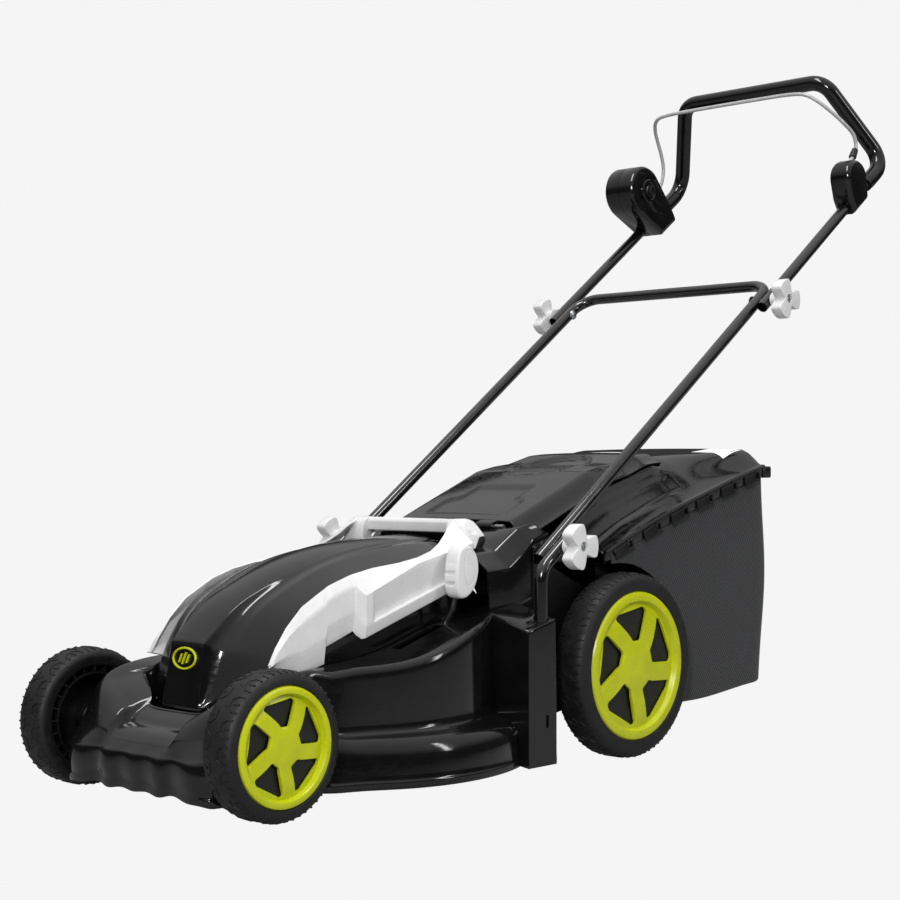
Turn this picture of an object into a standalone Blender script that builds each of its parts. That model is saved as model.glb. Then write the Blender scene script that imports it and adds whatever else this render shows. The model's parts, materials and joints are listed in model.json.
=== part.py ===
"""Walk-behind electric rotary lawn mower with a rear grass bag, folding handle and height lever.

Metres, +Z up.  The nose points to -Y and the operator stands at +Y, so +X is the operator's left.
Every piece is modelled with the front axle at Y = 0 and the ground at Z = 0, under one parent empty
that moves the whole mower so that the origin lies on the ground in the middle of its footprint.
The rest pose is the lowest cutting height, with the handle up and the bag on.
"""
import math

import bmesh
import bpy
from mathutils import Matrix, Vector

# ---------------------------------------------------------------- driving dimensions (metres)
GAP = 0.0004                  # between pieces that touch
RUN = 0.0005                  # radial clearance of a running fit

FRONT_WHEEL_R = 0.085
REAR_WHEEL_R = 0.125
FRONT_WHEEL_OUT = 0.1997      # X of the outer faces of the tyres
REAR_WHEEL_OUT = 0.2151
WHEEL_WIDTH = 0.048
WHEELBASE = 0.619
STUB_R = 0.004                # axle rod radius
CRANK_LENGTH = 0.038          # from an axle's pivot to its wheels
CRANK_REST = 150.0            # degrees from +Y, seen from +X
LUG_LENGTH = 0.035            # from an axle's pivot to its link pin
LUG_REST = 60.0
LUG_X = 0.1295                # middle plane of the three lugs
LUG_THICK = 0.004

DECK_WALL = 0.0035
SKIRT_Z = 0.016               # lower edge of the deck
WELL_Z = 0.100                # floor that the motor stands on
CUTTER_Y = 0.270              # cutter shaft, behind the front axle
BLADE_R = 0.195
BLADE_Z = 0.036
DECK_REAR = 0.478
FENDER_X = 0.138
TOWER_X = 0.215               # outer face of the towers
TOWER_Y = (0.3915, 0.446)

HOOD_WALL = 0.003
HOOD_HALF = 0.108             # half width of the hood's upright sides

TUBE_R = 0.0085               # handle tubes
TUBE_WALL = 0.0012
OUTER_TUBE_X = 0.202          # brackets and upper handle
INNER_TUBE_X = 0.1835         # middle handle
LOWER_BOLT = (0.472, 0.291)   # Y, Z
HANDLE_SLOPE = 35.9           # degrees
HANDLE_SPAN = 0.602           # lower bolt to upper bolt
UPPER_SPAN = 0.428            # upper bolt to the bend where the upper handle turns up
GRIP_R = 0.0125
GRIP_WALL = 0.0029
BOLT_R = 0.003
KNOB_R = 0.030
KNOB_OUT = 0.240              # X of the knobs' outer faces

BAIL_R = 0.003
BUTTON_R = 0.0115

BAG_HALF = 0.1830             # half width of the fabric
BAG_REAR = 0.985
BAG_FRONT = 0.757
BAG_WALL = 0.003
COVER_WALL = 0.0025

LEVER_PIVOT = (0.300, 0.118)
FLAP_HINGE = (0.478, 0.3135)

# ---------------------------------------------------------------- scene and materials
for old in list(bpy.data.objects):
    bpy.data.objects.remove(old, do_unlink=True)


def material(name, color, roughness, metallic=0.0):
    mat = bpy.data.materials.new(name)
    mat.use_nodes = True
    shader = mat.node_tree.nodes["Principled BSDF"]
    shader.inputs["Base Color"].default_value = (*color, 1)
    shader.inputs["Roughness"].default_value = roughness
    shader.inputs["Metallic"].default_value = metallic
    return mat


BLACK = material("black_gloss_plastic", (0.018, 0.018, 0.019), 0.15)
BLACK_MATT = material("black_matt_plastic", (0.02, 0.02, 0.02), 0.5)
WHITE = material("white_plastic", (0.78, 0.78, 0.78), 0.35)
LIME = material("lime_plastic", (0.56, 0.61, 0.015), 0.35)
RUBBER = material("black_tyre", (0.012, 0.012, 0.012), 0.55)
PAINT = material("black_painted_tube", (0.015, 0.015, 0.015), 0.2)
STEEL = material("bright_steel", (0.6, 0.6, 0.6), 0.3, 1.0)
FABRIC = material("charcoal_fabric", (0.03, 0.032, 0.035), 0.9)


def empty(name, at, parent=None):
    node = bpy.data.objects.new(name, None)
    bpy.context.scene.collection.objects.link(node)
    node.parent = parent
    node.location = at
    return node


ROOT = empty("mower_frame", (0, 0, 0))
PIVOTS = {}


def pivot(name, at, parent="mower"):
    """An empty on a joint's axis; at is in the front-axle frame."""
    base = PIVOTS.get(parent)
    offset = Vector(base["at"]) if base else Vector((0, 0, 0))
    node = empty(name + "_pivot", Vector(at) - offset, base["node"] if base else ROOT)
    PIVOTS[name] = {"node": node, "at": Vector(at)}


def place(bm, name, mat, body="mower", smooth=None):
    """Turn a bmesh in the front-axle frame into an object that hangs on its body's pivot."""
    base = PIVOTS.get(body)
    if base:
        bmesh.ops.translate(bm, vec=-base["at"], verts=bm.verts)
    bmesh.ops.recalc_face_normals(bm, faces=bm.faces)
    mesh = bpy.data.meshes.new(name)
    bm.to_mesh(mesh)
    bm.free()
    mesh.materials.append(mat)
    if smooth is not None:
        mesh.shade_smooth()
        mesh.set_sharp_from_angle(angle=math.radians(smooth))
    obj = bpy.data.objects.new(name, mesh)
    bpy.context.scene.collection.objects.link(obj)
    obj.parent = base["node"] if base else ROOT
    return obj


# ---------------------------------------------------------------- shape helpers
def prism(outline, axis, low, high):
    """Extrude a closed outline; for axis X the outline is (y, z), for Y (x, z), for Z (x, y)."""
    put = {"X": lambda a, b, c: (c, a, b), "Y": lambda a, b, c: (a, c, b), "Z": lambda a, b, c: (a, b, c)}
    bm = bmesh.new()
    base = [bm.verts.new(put[axis](a, b, low)) for a, b in outline]
    face = bm.faces.new(base)
    grown = bmesh.ops.extrude_face_region(bm, geom=[face])
    moved = [v for v in grown["geom"] if isinstance(v, bmesh.types.BMVert)]
    bmesh.ops.translate(bm, vec=Vector(put[axis](0, 0, high - low)), verts=moved)
    bmesh.ops.recalc_face_normals(bm, faces=bm.faces)
    return bm


def block(low, high):
    outline = [(low[0], low[1]), (high[0], low[1]), (high[0], high[1]), (low[0], high[1])]
    return prism(outline, "Z", low[2], high[2])


def circle(radius, count, center=(0, 0), start=0.0, sweep=360.0):
    steps = count if sweep == 360.0 else count - 1
    turn = [math.radians(start + sweep * i / steps) for i in range(count)]
    return [(center[0] + radius * math.cos(t), center[1] + radius * math.sin(t)) for t in turn]


def turned(profile, axis, at, segments=24):
    """Revolve a closed (radius, along) profile about an axis through at."""
    turn = {"X": lambda r, s, t: (s, r * math.cos(t), r * math.sin(t)),
            "Z": lambda r, s, t: (r * math.cos(t), r * math.sin(t), s)}[axis]
    bm = bmesh.new()
    rings = []
    for radius, along in profile:
        if radius < 1e-6:
            rings.append([bm.verts.new(turn(0, along, 0))] * segments)
        else:
            rings.append([bm.verts.new(turn(radius, along, 2 * math.pi * i / segments)) for i in range(segments)])
    skin(bm, rings, True)
    bmesh.ops.translate(bm, vec=at, verts=bm.verts)
    return bm


def skin(bm, rings, close_rings, wrap=True):
    """Faces between neighbouring rings of equally many vertices."""
    pairs = list(zip(rings, rings[1:]))
    if close_rings:
        pairs.append((rings[-1], rings[0]))
    for ring, other in pairs:
        count = len(ring)
        for i in range(count if wrap else count - 1):
            j = (i + 1) % count
            corners = []
            for vert in (ring[i], ring[j], other[j], other[i]):
                if vert not in corners:
                    corners.append(vert)
            if len(corners) > 2:
                bm.faces.new(corners)


def rounded(points, radius, steps=4):
    """Replace the corners of an open 3-D path by arcs."""
    path = [Vector(points[0])]
    for before, corner, after in zip(points, points[1:], points[2:]):
        corner = Vector(corner)
        back = (Vector(before) - corner).normalized()
        ahead = (Vector(after) - corner).normalized()
        half = back.angle(ahead) / 2
        reach = radius / math.tan(half)
        center = corner + (back + ahead).normalized() * radius / math.sin(half)
        start = corner + back * reach - center
        end = corner + ahead * reach - center
        turn = start.angle(end)
        for i in range(steps + 1):
            share = i / steps
            mixed = (start * math.sin((1 - share) * turn) + end * math.sin(share * turn)) / math.sin(turn)
            path.append(center + mixed)
    path.append(Vector(points[-1]))
    return path


def tube(path, radius, wall=None, sides=10):
    """Sweep a round section along a path; with a wall it is a pipe, open at both ends."""
    bm = bmesh.new()
    tangents = []
    for i, point in enumerate(path):
        before = path[max(i - 1, 0)]
        after = path[min(i + 1, len(path) - 1)]
        tangents.append((after - before).normalized())
    side = tangents[0].orthogonal().normalized()
    outer = []
    inner = []
    for point, along in zip(path, tangents):
        side = (side - along * side.dot(along)).normalized()
        up = along.cross(side)
        turn = [2 * math.pi * (i + 0.5) / sides for i in range(sides)]
        spokes = [side * math.cos(t) + up * math.sin(t) for t in turn]
        outer.append([bm.verts.new(point + s * radius) for s in spokes])
        if wall:
            inner.append([bm.verts.new(point + s * (radius - wall)) for s in spokes])
    if wall:
        skin(bm, outer + inner[::-1], True)
    else:
        skin(bm, outer, False)
        bm.faces.new(outer[0])
        bm.faces.new(outer[-1])
    return bm


def loft(sections):
    """Closed skin over equally long closed sections, with flat end caps."""
    bm = bmesh.new()
    rings = [[bm.verts.new(p) for p in section] for section in sections]
    skin(bm, rings, False)
    bm.faces.new(rings[0])
    bm.faces.new(rings[-1])
    return bm


def mirrored(bm):
    """The same shape on the other side of the middle plane."""
    bmesh.ops.scale(bm, vec=(-1, 1, 1), verts=bm.verts)
    bmesh.ops.reverse_faces(bm, faces=bm.faces)
    return bm


def helper(bm, name, body="mower"):
    """A cutter or an added shape: kept out of the build."""
    obj = place(bm, name, BLACK, body)
    obj.hide_render = True
    obj.display_type = "WIRE"
    return obj


def combine(obj, operation, shapes, body="mower"):
    for i, bm in enumerate(shapes):
        tool = obj.modifiers.new(operation.lower() + str(i), "BOOLEAN")
        tool.operation = operation
        tool.solver = "EXACT"
        tool.object = helper(bm, "_" + obj.name + "_" + operation.lower() + str(i), body)
    return obj


def rod_hole(at, radius, low, high, sides=16):
    """A round cutter along X through the (y, z) point."""
    return prism(circle(radius, sides, at), "X", low, high)


def both_sides(low, high):
    """Spans along X on the left and on the right."""
    return ((low, high), (-high, -low))


def polar(center, radius, degrees):
    turn = math.radians(degrees)
    return (center[0] + radius * math.cos(turn), center[1] + radius * math.sin(turn))


# ---------------------------------------------------------------- positions worked out from the sizes
SLOPE = math.radians(HANDLE_SLOPE)
UPPER_BOLT = (LOWER_BOLT[0] + HANDLE_SPAN * math.cos(SLOPE), LOWER_BOLT[1] + HANDLE_SPAN * math.sin(SLOPE))
HANDLE_END = (UPPER_BOLT[0] + UPPER_SPAN * math.cos(SLOPE), UPPER_BOLT[1] + UPPER_SPAN * math.sin(SLOPE))
GRIP_TOP = (.1375, UPPER_BOLT[0] + .26636, UPPER_BOLT[1] + .3820)
BAIL_PIVOT = (UPPER_BOLT[0] + .24036, UPPER_BOLT[1] + .2280)
BUTTON_AT = (UPPER_BOLT[0] + .18736, UPPER_BOLT[1] + .2240)
SWITCH_DISC = (UPPER_BOLT[0] + .18436, UPPER_BOLT[1] + .2250)
PIVOT_DISC = (UPPER_BOLT[0] + .23536, UPPER_BOLT[1] + .2110)
FRONT_WHEEL = (0.0, FRONT_WHEEL_R)
REAR_WHEEL = (WHEELBASE, REAR_WHEEL_R)
FRONT_PIVOT = polar(FRONT_WHEEL, -CRANK_LENGTH, CRANK_REST)
REAR_PIVOT = polar(REAR_WHEEL, -CRANK_LENGTH, CRANK_REST)
FRONT_PIN = polar(FRONT_PIVOT, LUG_LENGTH, LUG_REST)
REAR_PIN = polar(REAR_PIVOT, LUG_LENGTH, LUG_REST)
LEVER_PIN = polar(LEVER_PIVOT, LUG_LENGTH, LUG_REST)

pivot("cutter", (0, CUTTER_Y, BLADE_Z))
pivot("front_axle", (0, *FRONT_PIVOT))
pivot("rear_axle", (0, *REAR_PIVOT))
pivot("height_link", (LUG_X, *FRONT_PIN), "front_axle")
pivot("height_lever", (LUG_X, *LEVER_PIVOT))
pivot("rear_flap", (0, *FLAP_HINGE))
pivot("grass_bag", (0, BAG_FRONT, 0.2))
pivot("middle_handle", (0, *LOWER_BOLT))
pivot("upper_handle", (0, *UPPER_BOLT), "middle_handle")
pivot("bail", (0, *BAIL_PIVOT), "upper_handle")


# ---------------------------------------------------------------- deck
def deck_shell():
    """One moulding: bumper, fenders beside the front wheels, round cutter housing, skirt and towers."""
    w = FENDER_X
    s = SKIRT_Z
    rear = DECK_REAR
    front, back = TOWER_Y
    out = TOWER_X
    bottom = [(0, -.063, .026), (.085, -.061, .021), (.132, -.055, s), (w, -.020, s), (w, .040, s), (w, .088, s),
              (.172, .105, s)]
    flare = [(0, -.066, .050), (.085, -.064, .049), (.133, -.057, .047), (w, -.020, .060), (w, .040, .070),
             (w, .091, .070), (.166, .112, .062)]
    foot = [(0, -.060, .068), (.085, -.058, .070), (.131, -.050, .066), (w, -.020, .090), (w, .040, .100),
            (w, .095, .088), (.151, .118, .080)]
    crest = [(0, -.050, .076), (.082, -.046, .084), (.126, -.037, .096), (.134, -.008, .134), (.134, .045, .150),
             (.135, .098, .152), (.145, .122, .148)]
    shelf = [(0, .003, .107), (.038, .003, .110), (.070, .024, .124), (.104, .040, .138), (.111, .062, .150),
             (.112, .100, .154), (.112, .135, .156)]
    for turn, skirt, drum, top, ledge in ((-35, .2220, .1950, .148, .158), (-15, .2260, .1990, .158, .166),
                                          (4, .2270, .2000, .176, .182), (22, .2300, .2000, .192, .200),
                                          (31, .2340, .2000, .197, .206)):
        inner = .112 if turn < 31 else .140
        bottom.append((*polar((0, CUTTER_Y), skirt, turn), s))
        flare.append((*polar((0, CUTTER_Y), skirt - .006, turn), .060))
        foot.append((*polar((0, CUTTER_Y), drum, turn + (6 if turn == 31 else 0)), .077))
        crest.append((*polar((0, CUTTER_Y), drum - .006, turn + (7 if turn == 31 else 0)), top))
        shelf.append((inner, polar((0, CUTTER_Y), drum - .010, turn)[1] + (.020 if turn == 31 else 0), ledge))
    bottom += [(out, front, s), (out, back, s), (.152, .450, s), (.150, rear, .055), (0, rear, .055)]
    flare += [(out, front, .060), (out, back, .060), (.152, .450, .065), (.150, rear, .070), (0, rear, .070)]
    foot += [(out, front, .090), (out, back, .090), (.152, .450, .090), (.150, rear, .090), (0, rear, .090)]
    crest += [(out - .002, front, .187), (out, back, .200), (.152, .449, .214), (.149, .476, .222), (0, .476, .222)]
    shelf += [(.143, .425, .213), (.142, .430, .216), (.140, .440, .218), (.138, .462, .220), (0, .462, .220)]
    well_rear = [(.112, .346, .203), (.096, .346, .203), (.064, .346, .203), (.032, .346, .203), (0, .346, .203)]
    lip = [(x, y, z - .0006) for x, y, z in shelf[:11]] + [(.112, .3440, .2020)] + well_rear
    floor = [(x * 0.985, y + (.001 if y < .3 else -.001), WELL_Z) for x, y, z in lip]
    bm = bmesh.new()
    rings = []
    for half in (bottom, flare, foot, crest, shelf, lip, floor):
        far = [(-x, y, z) for x, y, z in half[-2:0:-1]]
        rings.append([bm.verts.new(p) for p in half + far])
    skin(bm, rings, False)
    bm.faces.new(rings[-1])
    obj = place(bm, "deck_shell", BLACK, smooth=30)
    wall = obj.modifiers.new("wall", "SOLIDIFY")
    wall.thickness = DECK_WALL
    wall.offset = -1
    wall.use_even_offset = True
    cuts = [turned([(0, -.02), (.0092, -.02), (.0092, .02), (0, .02)], "Z", (0, CUTTER_Y, WELL_Z), 16)]
    for low, high in both_sides(.120, .150):
        cuts.append(rod_hole(FRONT_PIVOT, STUB_R + 0.0012, low, high, 12))
    for x in (OUTER_TUBE_X, -OUTER_TUBE_X):
        cuts.append(turned([(0, -.02), (TUBE_R + GAP, -.02), (TUBE_R + GAP, .04), (0, .04)],
                           "Z", (x, bracket_y(), .190), 16))
    cuts.append(block((LUG_X - .006, .246, .13), (LUG_X + .006, .350, .23)))
    cuts.append(block((-.104, .44, .075), (.104, .50, .200)))
    cuts.append(block((LUG_X - .016, .46, .105), (LUG_X + .006, .50, .185)))
    return combine(obj, "DIFFERENCE", cuts)


def bracket_y():
    return LOWER_BOLT[0] - 0.042


def chamber_baffle():
    """Flat plate that closes the pockets above the blade, open towards the bag."""
    radius = BLADE_R - 0.008
    rim = circle(radius, 21, (0, CUTTER_Y), 123, 294)
    plate = prism(rim + [(.100, .350), (-.100, .350)], "Z", .0880, .0905)
    obj = place(plate, "chamber_baffle", BLACK_MATT)
    hole = turned([(0, -.02), (.030, -.02), (.030, .02), (0, .02)], "Z", (0, CUTTER_Y, .089), 20)
    return combine(obj, "DIFFERENCE", [hole])


def rear_chassis():
    """Box frame behind the deck: outer cheeks that carry the rear axle, and the clippings chute."""
    front = DECK_REAR + GAP
    wall = 0.003
    cheek = [(front, .058), (.560, .070), (.640, .082), (.700, .082), (.735, .110), (.735, .152),
             (.690, .180), (.500, .268), (front, .272)]
    chute = [(front, .076), (.735, .156), (.690, .178), (.500, .262), (front, .268)]
    obj = place(prism(cheek, "X", .146, .149), "rear_chassis", BLACK, smooth=30)
    adds = [prism(cheek, "X", -.149, -.146)]
    adds += [prism(chute, "X", low, high) for low, high in both_sides(.105, .105 + wall)]
    floor = [(front, .0725), (.7348, .1530), (.7348, .1562), (front, .0757)]
    adds.append(prism(floor, "X", -.1075, .1075))
    adds += [block((low, .7318, .1215), (high, .7349, .1545)) for low, high in both_sides(.1072, .1475)]
    adds += [block((low, front + .0002, .060), (high, front + .003, .1035)) for low, high in both_sides(.1072, .1475)]
    combine(obj, "UNION", adds)
    for low, high in both_sides(.140, .155):
        cut = obj.modifiers.new("axle_hole", "BOOLEAN")
        cut.operation = "DIFFERENCE"
        cut.object = helper(rod_hole(REAR_PIVOT, STUB_R + .0012, low, high, 12), "_axle_hole")
    return obj


def rear_cowl():
    """Shoulder between the hood and the flap."""
    sections = []
    for y, top, low, wide in ((.3925, .2890, .2300, .1440), (.440, .2900, .2330, .1440),
                              (.448, .3040, .2400, .1440), (.4700, .3080, .2740, .1440)):
        sections.append([(0, y, top), (.060, y, top), (.100, y, top - .004), (.124, y, top - .014),
                         (wide, y, (top + low) / 2), (wide + .001, y, low)])
    bm = bmesh.new()
    rings = []
    for half in sections:
        far = [(-x, y, z) for x, y, z in half[:0:-1]]
        rings.append([bm.verts.new(p) for p in far + half])
    skin(bm, rings, False, wrap=False)
    obj = place(bm, "rear_cowl", BLACK, smooth=30)
    wall = obj.modifiers.new("wall", "SOLIDIFY")
    wall.thickness = HOOD_WALL
    wall.offset = -1
    return combine(obj, "DIFFERENCE", [block((-.088, .380, .270), (.088, .452, .330)),
                                       block((.1225, .380, .24), (.1275, .400, .25))])


# ---------------------------------------------------------------- hood, trims and handle on top
def hood_rows():
    """Half rows of the hood's outer surface, front to back; each runs from the middle to the base."""
    base = WELL_Z + 0.004
    side = HOOD_HALF
    return [
        [(0, .008, base), (.033, .008, base), (.062, .030, base), (.092, .046, base), (.101, .054, base),
         (side - .001, .064, base)],
        [(0, .008, .112), (.033, .008, .112), (.062, .030, .122), (.094, .047, .134), (.102, .056, .128),
         (side, .072, base)],
        [(0, .0204, .186), (.0295, .0204, .186), (.056, .045, .178), (.096, .060, .168), (.104, .066, .155),
         (side, .082, base)],
        [(0, .041, .210), (.031, .043, .207), (.057, .060, .200), (.099, .078, .194), (.1065, .082, .180),
         (side, .092, base)],
        [(0, .067, .235), (.033, .067, .228), (.059, .075, .219), (.101, .095, .214), (.107, .097, .200),
         (side, .104, base)],
        [(0, .100, .253), (.035, .100, .243), (.060, .100, .236), (.102, .115, .231), (.1075, .116, .215),
         (side, .120, base)],
        [(0, .142, .271), (.037, .142, .261), (.061, .144, .257), (.103, .146, .248), (side, .146, .232),
         (side, .150, base)],
        [(0, .192, .286), (.038, .192, .279), (.062, .190, .275), (.104, .186, .262), (side, .186, .246),
         (side, .190, base)],
        [(0, .250, .297), (.038, .250, .292), (.062, .250, .287), (.104, .250, .272), (side, .250, .256),
         (side, .250, base)],
        [(0, .328, .3025), (.038, .328, .299), (.062, .328, .295), (.104, .328, .281), (side, .328, .265),
         (side, .332, base)],
        [(0, .345, .3030), (.038, .345, .300), (.062, .345, .296), (.104, .345, .283), (side, .345, .267),
         (side, .338, .214)],
        [(0, .390, .3035), (.038, .390, .301), (.062, .390, .297), (.104, .390, .285), (side, .390, .269),
         (side, .390, .223)],
    ]


def motor_hood():
    bm = bmesh.new()
    rings = []
    for half in hood_rows():
        far = [(-x, y, z) for x, y, z in half[:0:-1]]
        rings.append([bm.verts.new(p) for p in far + half])
    skin(bm, rings, False, wrap=False)
    obj = place(bm, "motor_hood", BLACK, smooth=20)
    wall = obj.modifiers.new("wall", "SOLIDIFY")
    wall.thickness = HOOD_WALL
    wall.offset = -1
    wall.use_even_offset = True


def side_trim(sign):
    """White plate along the hood's side, up to the carry handle."""
    upper = [(.056, .168), (.078, .200), (.103, .223), (.146, .243), (.186, .256), (.250, .266), (.300, .272),
             (.330, .280), (.345, .290), (.391, .300)]
    lower = [(.062, .163), (.080, .165), (.105, .168), (.142, .186), (.188, .204), (.250, .216), (.300, .228),
             (.330, .238), (.350, .246), (.388, .262)]
    sections = []
    for (y, z), (v, u) in zip(upper, lower):
        inner = HOOD_HALF + 0.0012
        sections.append([(sign * inner, y, z), (sign * (inner + .006), y, z - .001),
                         (sign * (inner + .012), (y + v) / 2, (z + u) / 2), (sign * (inner + .0135), v, u),
                         (sign * (inner + .0105), v, u), (sign * (inner + .001), (y + v) / 2, (z + u) / 2)])
    name = "side_trim_left" if sign > 0 else "side_trim_right"
    return place(loft(sections), name, WHITE, smooth=35)


def carry_handle():
    """Bar across the top with a foot at each end."""
    foot = 0.0985
    bar = [(.4050, .3060), (.4320, .3060), (.4330, .3200), (.4290, .3232), (.4090, .3232), (.4050, .3200)]
    obj = place(prism(bar, "X", -.1190, .1190), "carry_handle", WHITE, smooth=30)
    shape = [(.3990, .3110), (.4070, .3232), (.4400, .3232), (.4460, .3080), (.4340, .3070), (.4300, .2945),
             (.4200, .2925), (.4025, .2925)]
    feet = [prism(shape, "X", low, high) for low, high in both_sides(foot, .1242)]
    return combine(obj, "UNION", feet)


def vent_grille():
    """Comb of upright fins behind the carry handle."""
    count = 10
    pitch = 0.0165
    outline = [(-.086, .2725), (.086, .2725), (.086, .2800)]
    for i in reversed(range(count)):
        x = (i - (count - 1) / 2) * pitch
        outline += [(x + .0065, .2800), (x + .0035, .2980), (x + .0005, .2980), (x + .0035, .2800)]
    outline += [(-.086, .2800)]
    return place(prism(outline, "Y", .4380, .4480), "vent_grille", BLACK_MATT)


def nose_badge():
    """Plain oval on the hood's nose plate, with the plate's slant."""
    lean = math.atan2(.0124, .074)
    bm = prism(circle(1, 20), "Y", -.0022, -.0005)
    bmesh.ops.scale(bm, vec=(.0225, 1, .0135), verts=bm.verts)
    bmesh.ops.rotate(bm, matrix=Matrix.Rotation(-lean, 3, "X"), verts=bm.verts)
    bmesh.ops.translate(bm, vec=(0, .0172, .167), verts=bm.verts)
    return place(bm, "nose_badge", LIME)


# ---------------------------------------------------------------- motor and cutter
def motor():
    at = (0, CUTTER_Y, 0)
    base = WELL_Z + GAP
    can = [(.047, base), (.058, base), (.058, base + .003), (.052, base + .003), (.052, .222), (.0115, .222),
           (.0115, .219), (.047, .219)]
    place(turned(can, "Z", at, 28), "motor_can", BLACK_MATT, smooth=30)
    for name, low in (("lower_bearing", base), ("upper_bearing", .2100)):
        ring = [(.0065, low), (.0110, low), (.0110, low + .0085), (.0065, low + .0085)]
        place(turned(ring, "Z", at, 20), name, STEEL, smooth=30)
    rotor = [(0, BLADE_Z + .0045), (.006, BLADE_Z + .0045), (.006, .120), (.018, .124), (.042, .128), (.042, .196),
             (.018, .200), (.006, .204), (.006, .2440), (0, .2440)]
    place(turned(rotor, "Z", at, 24), "rotor", STEEL, "cutter", 30)
    fan = place(turned([(.0063, .226), (.012, .226), (.012, .230), (.044, .230), (.044, .2325), (.0063, .2325)],
                       "Z", at, 24), "cooling_fan", BLACK_MATT, "cutter", 30)
    blades = []
    for i in range(8):
        blade = block((.014, -.0012, .2320), (.042, .0012, .2420))
        bmesh.ops.rotate(blade, matrix=Matrix.Rotation(math.radians(45 * i), 3, "Z"), verts=blade.verts)
        bmesh.ops.translate(blade, vec=at, verts=blade.verts)
        blades.append(blade)
    combine(fan, "UNION", blades, "cutter")


def cutter():
    at = (0, CUTTER_Y, 0)
    hub = BLADE_Z + .0045
    holder = [(.0063, hub), (.020, hub), (.020, hub + .004), (.012, hub + .007), (.012, hub + .022),
              (.0063, hub + .022)]
    place(turned(holder, "Z", at, 20), "blade_holder", STEEL, "cutter", 30)
    half, thick = 0.023, 0.003
    lift = 0.010                  # of each tip's trailing edge
    narrow = half - .004          # half width of the tips
    bar_end = .1355
    bar = place(block((-bar_end - .0005, CUTTER_Y - half, BLADE_Z),
                      (bar_end + .0005, CUTTER_Y + half, BLADE_Z + thick)), "cutting_blade", STEEL, "cutter")
    tips = []
    for side in (-1, 1):          # the two tips' trailing edges face opposite ways
        sections = []
        for x, wide, wing in [(bar_end, half, 0), (BLADE_R, narrow, lift)][::side]:
            outline = [(-wide, 0), (wide * .3, 0), (wide, wing), (wide, wing + thick), (wide * .3, thick),
                       (-wide, thick)]
            sections.append([(side * x, CUTTER_Y + side * y, BLADE_Z + z) for y, z in outline])
        tips.append(loft(sections))
    combine(bar, "UNION", tips, "cutter")
    bore = bar.modifiers.new("bore", "BOOLEAN")
    bore.operation = "DIFFERENCE"
    bore.object = helper(turned([(0, .02), (.0055, .02), (.0055, .06), (0, .06)], "Z", at, 16), "_bore", "cutter")
    bolt = [(0, BLADE_Z - .0095), (.0085, BLADE_Z - .0095), (.0085, BLADE_Z - .0035), (.014, BLADE_Z - .0030),
            (.014, BLADE_Z - GAP), (.005, BLADE_Z - GAP), (.005, BLADE_Z + .0040), (0, BLADE_Z + .0040)]
    place(turned(bolt, "Z", at, 18), "blade_bolt", STEEL, "cutter", 30)


# ---------------------------------------------------------------- wheels, axles and height lever
def lug(pivot_at, low, high):
    """Teardrop plate from an axle to its link pin."""
    pin = polar(pivot_at, LUG_LENGTH, LUG_REST)
    root = circle(.0085, 9, pivot_at, LUG_REST + 90, 180)
    tip = circle(.0068, 7, pin, LUG_REST - 90, 180)
    return prism(root + tip, "X", low, high)


def axle(name, pivot_at, wheel_at, arm_x, stub_x):
    points = [(stub_x, *wheel_at), (arm_x, *wheel_at), (arm_x, *pivot_at)]
    points += [(-x, y, z) for x, y, z in points[::-1]]
    obj = place(tube(rounded(points, .0062, 3), STUB_R, sides=10), name, STEEL, name, 30)
    low = LUG_X - LUG_THICK / 2
    combine(obj, "UNION", [lug(pivot_at, low, low + LUG_THICK)], name)
    pin = polar(pivot_at, LUG_LENGTH, LUG_REST)
    cut = obj.modifiers.new("pin_hole", "BOOLEAN")
    cut.operation = "DIFFERENCE"
    cut.object = helper(rod_hole(pin, BOLT_R + RUN, .10, .15, 12), "_pin_hole_" + name, name)


def wheel(name, center, radius, outer_x, sign, body):
    """Tyre, rim and hub cap, modelled on the left and mirrored for the right."""
    w = WHEEL_WIDTH
    x0 = outer_x - w
    ring = radius * 0.80
    at = (0, *center)
    tyre = [(ring + GAP, x0 + .002), (radius - .010, x0), (radius - .002, x0 + .006), (radius, x0 + .016),
            (radius, outer_x - .012), (radius - .004, outer_x - .004), (radius - .011, outer_x),
            (ring + GAP, outer_x - .002)]
    rim = [(STUB_R + RUN, x0 + .006), (.0125, x0 + .006), (.0125, outer_x - .016), (ring - .006, outer_x - .016),
           (ring - .006, x0 + .002), (ring, x0 + .002), (ring, outer_x - .009), (STUB_R + RUN, outer_x - .009)]
    cap_in = outer_x - .0085
    cap_out = outer_x + .0015
    cap = [(0, cap_in + .003), (ring * .84, cap_in + .003), (ring * .84, cap_in), (ring, cap_in),
           (ring, cap_out - .004), (ring - .004, cap_out - .001), (ring * .86, cap_out - .001),
           (ring * .84, cap_in + .006), (0, cap_in + .006)]
    for part, profile, mat in (("tyre", tyre, RUBBER), ("rim", rim, BLACK_MATT), ("hub_cap", cap, LIME)):
        bm = turned(profile, "X", at, 24)
        if sign < 0:
            bm = mirrored(bm)
        place(bm, name + "_" + part, mat, body, 35)


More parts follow.
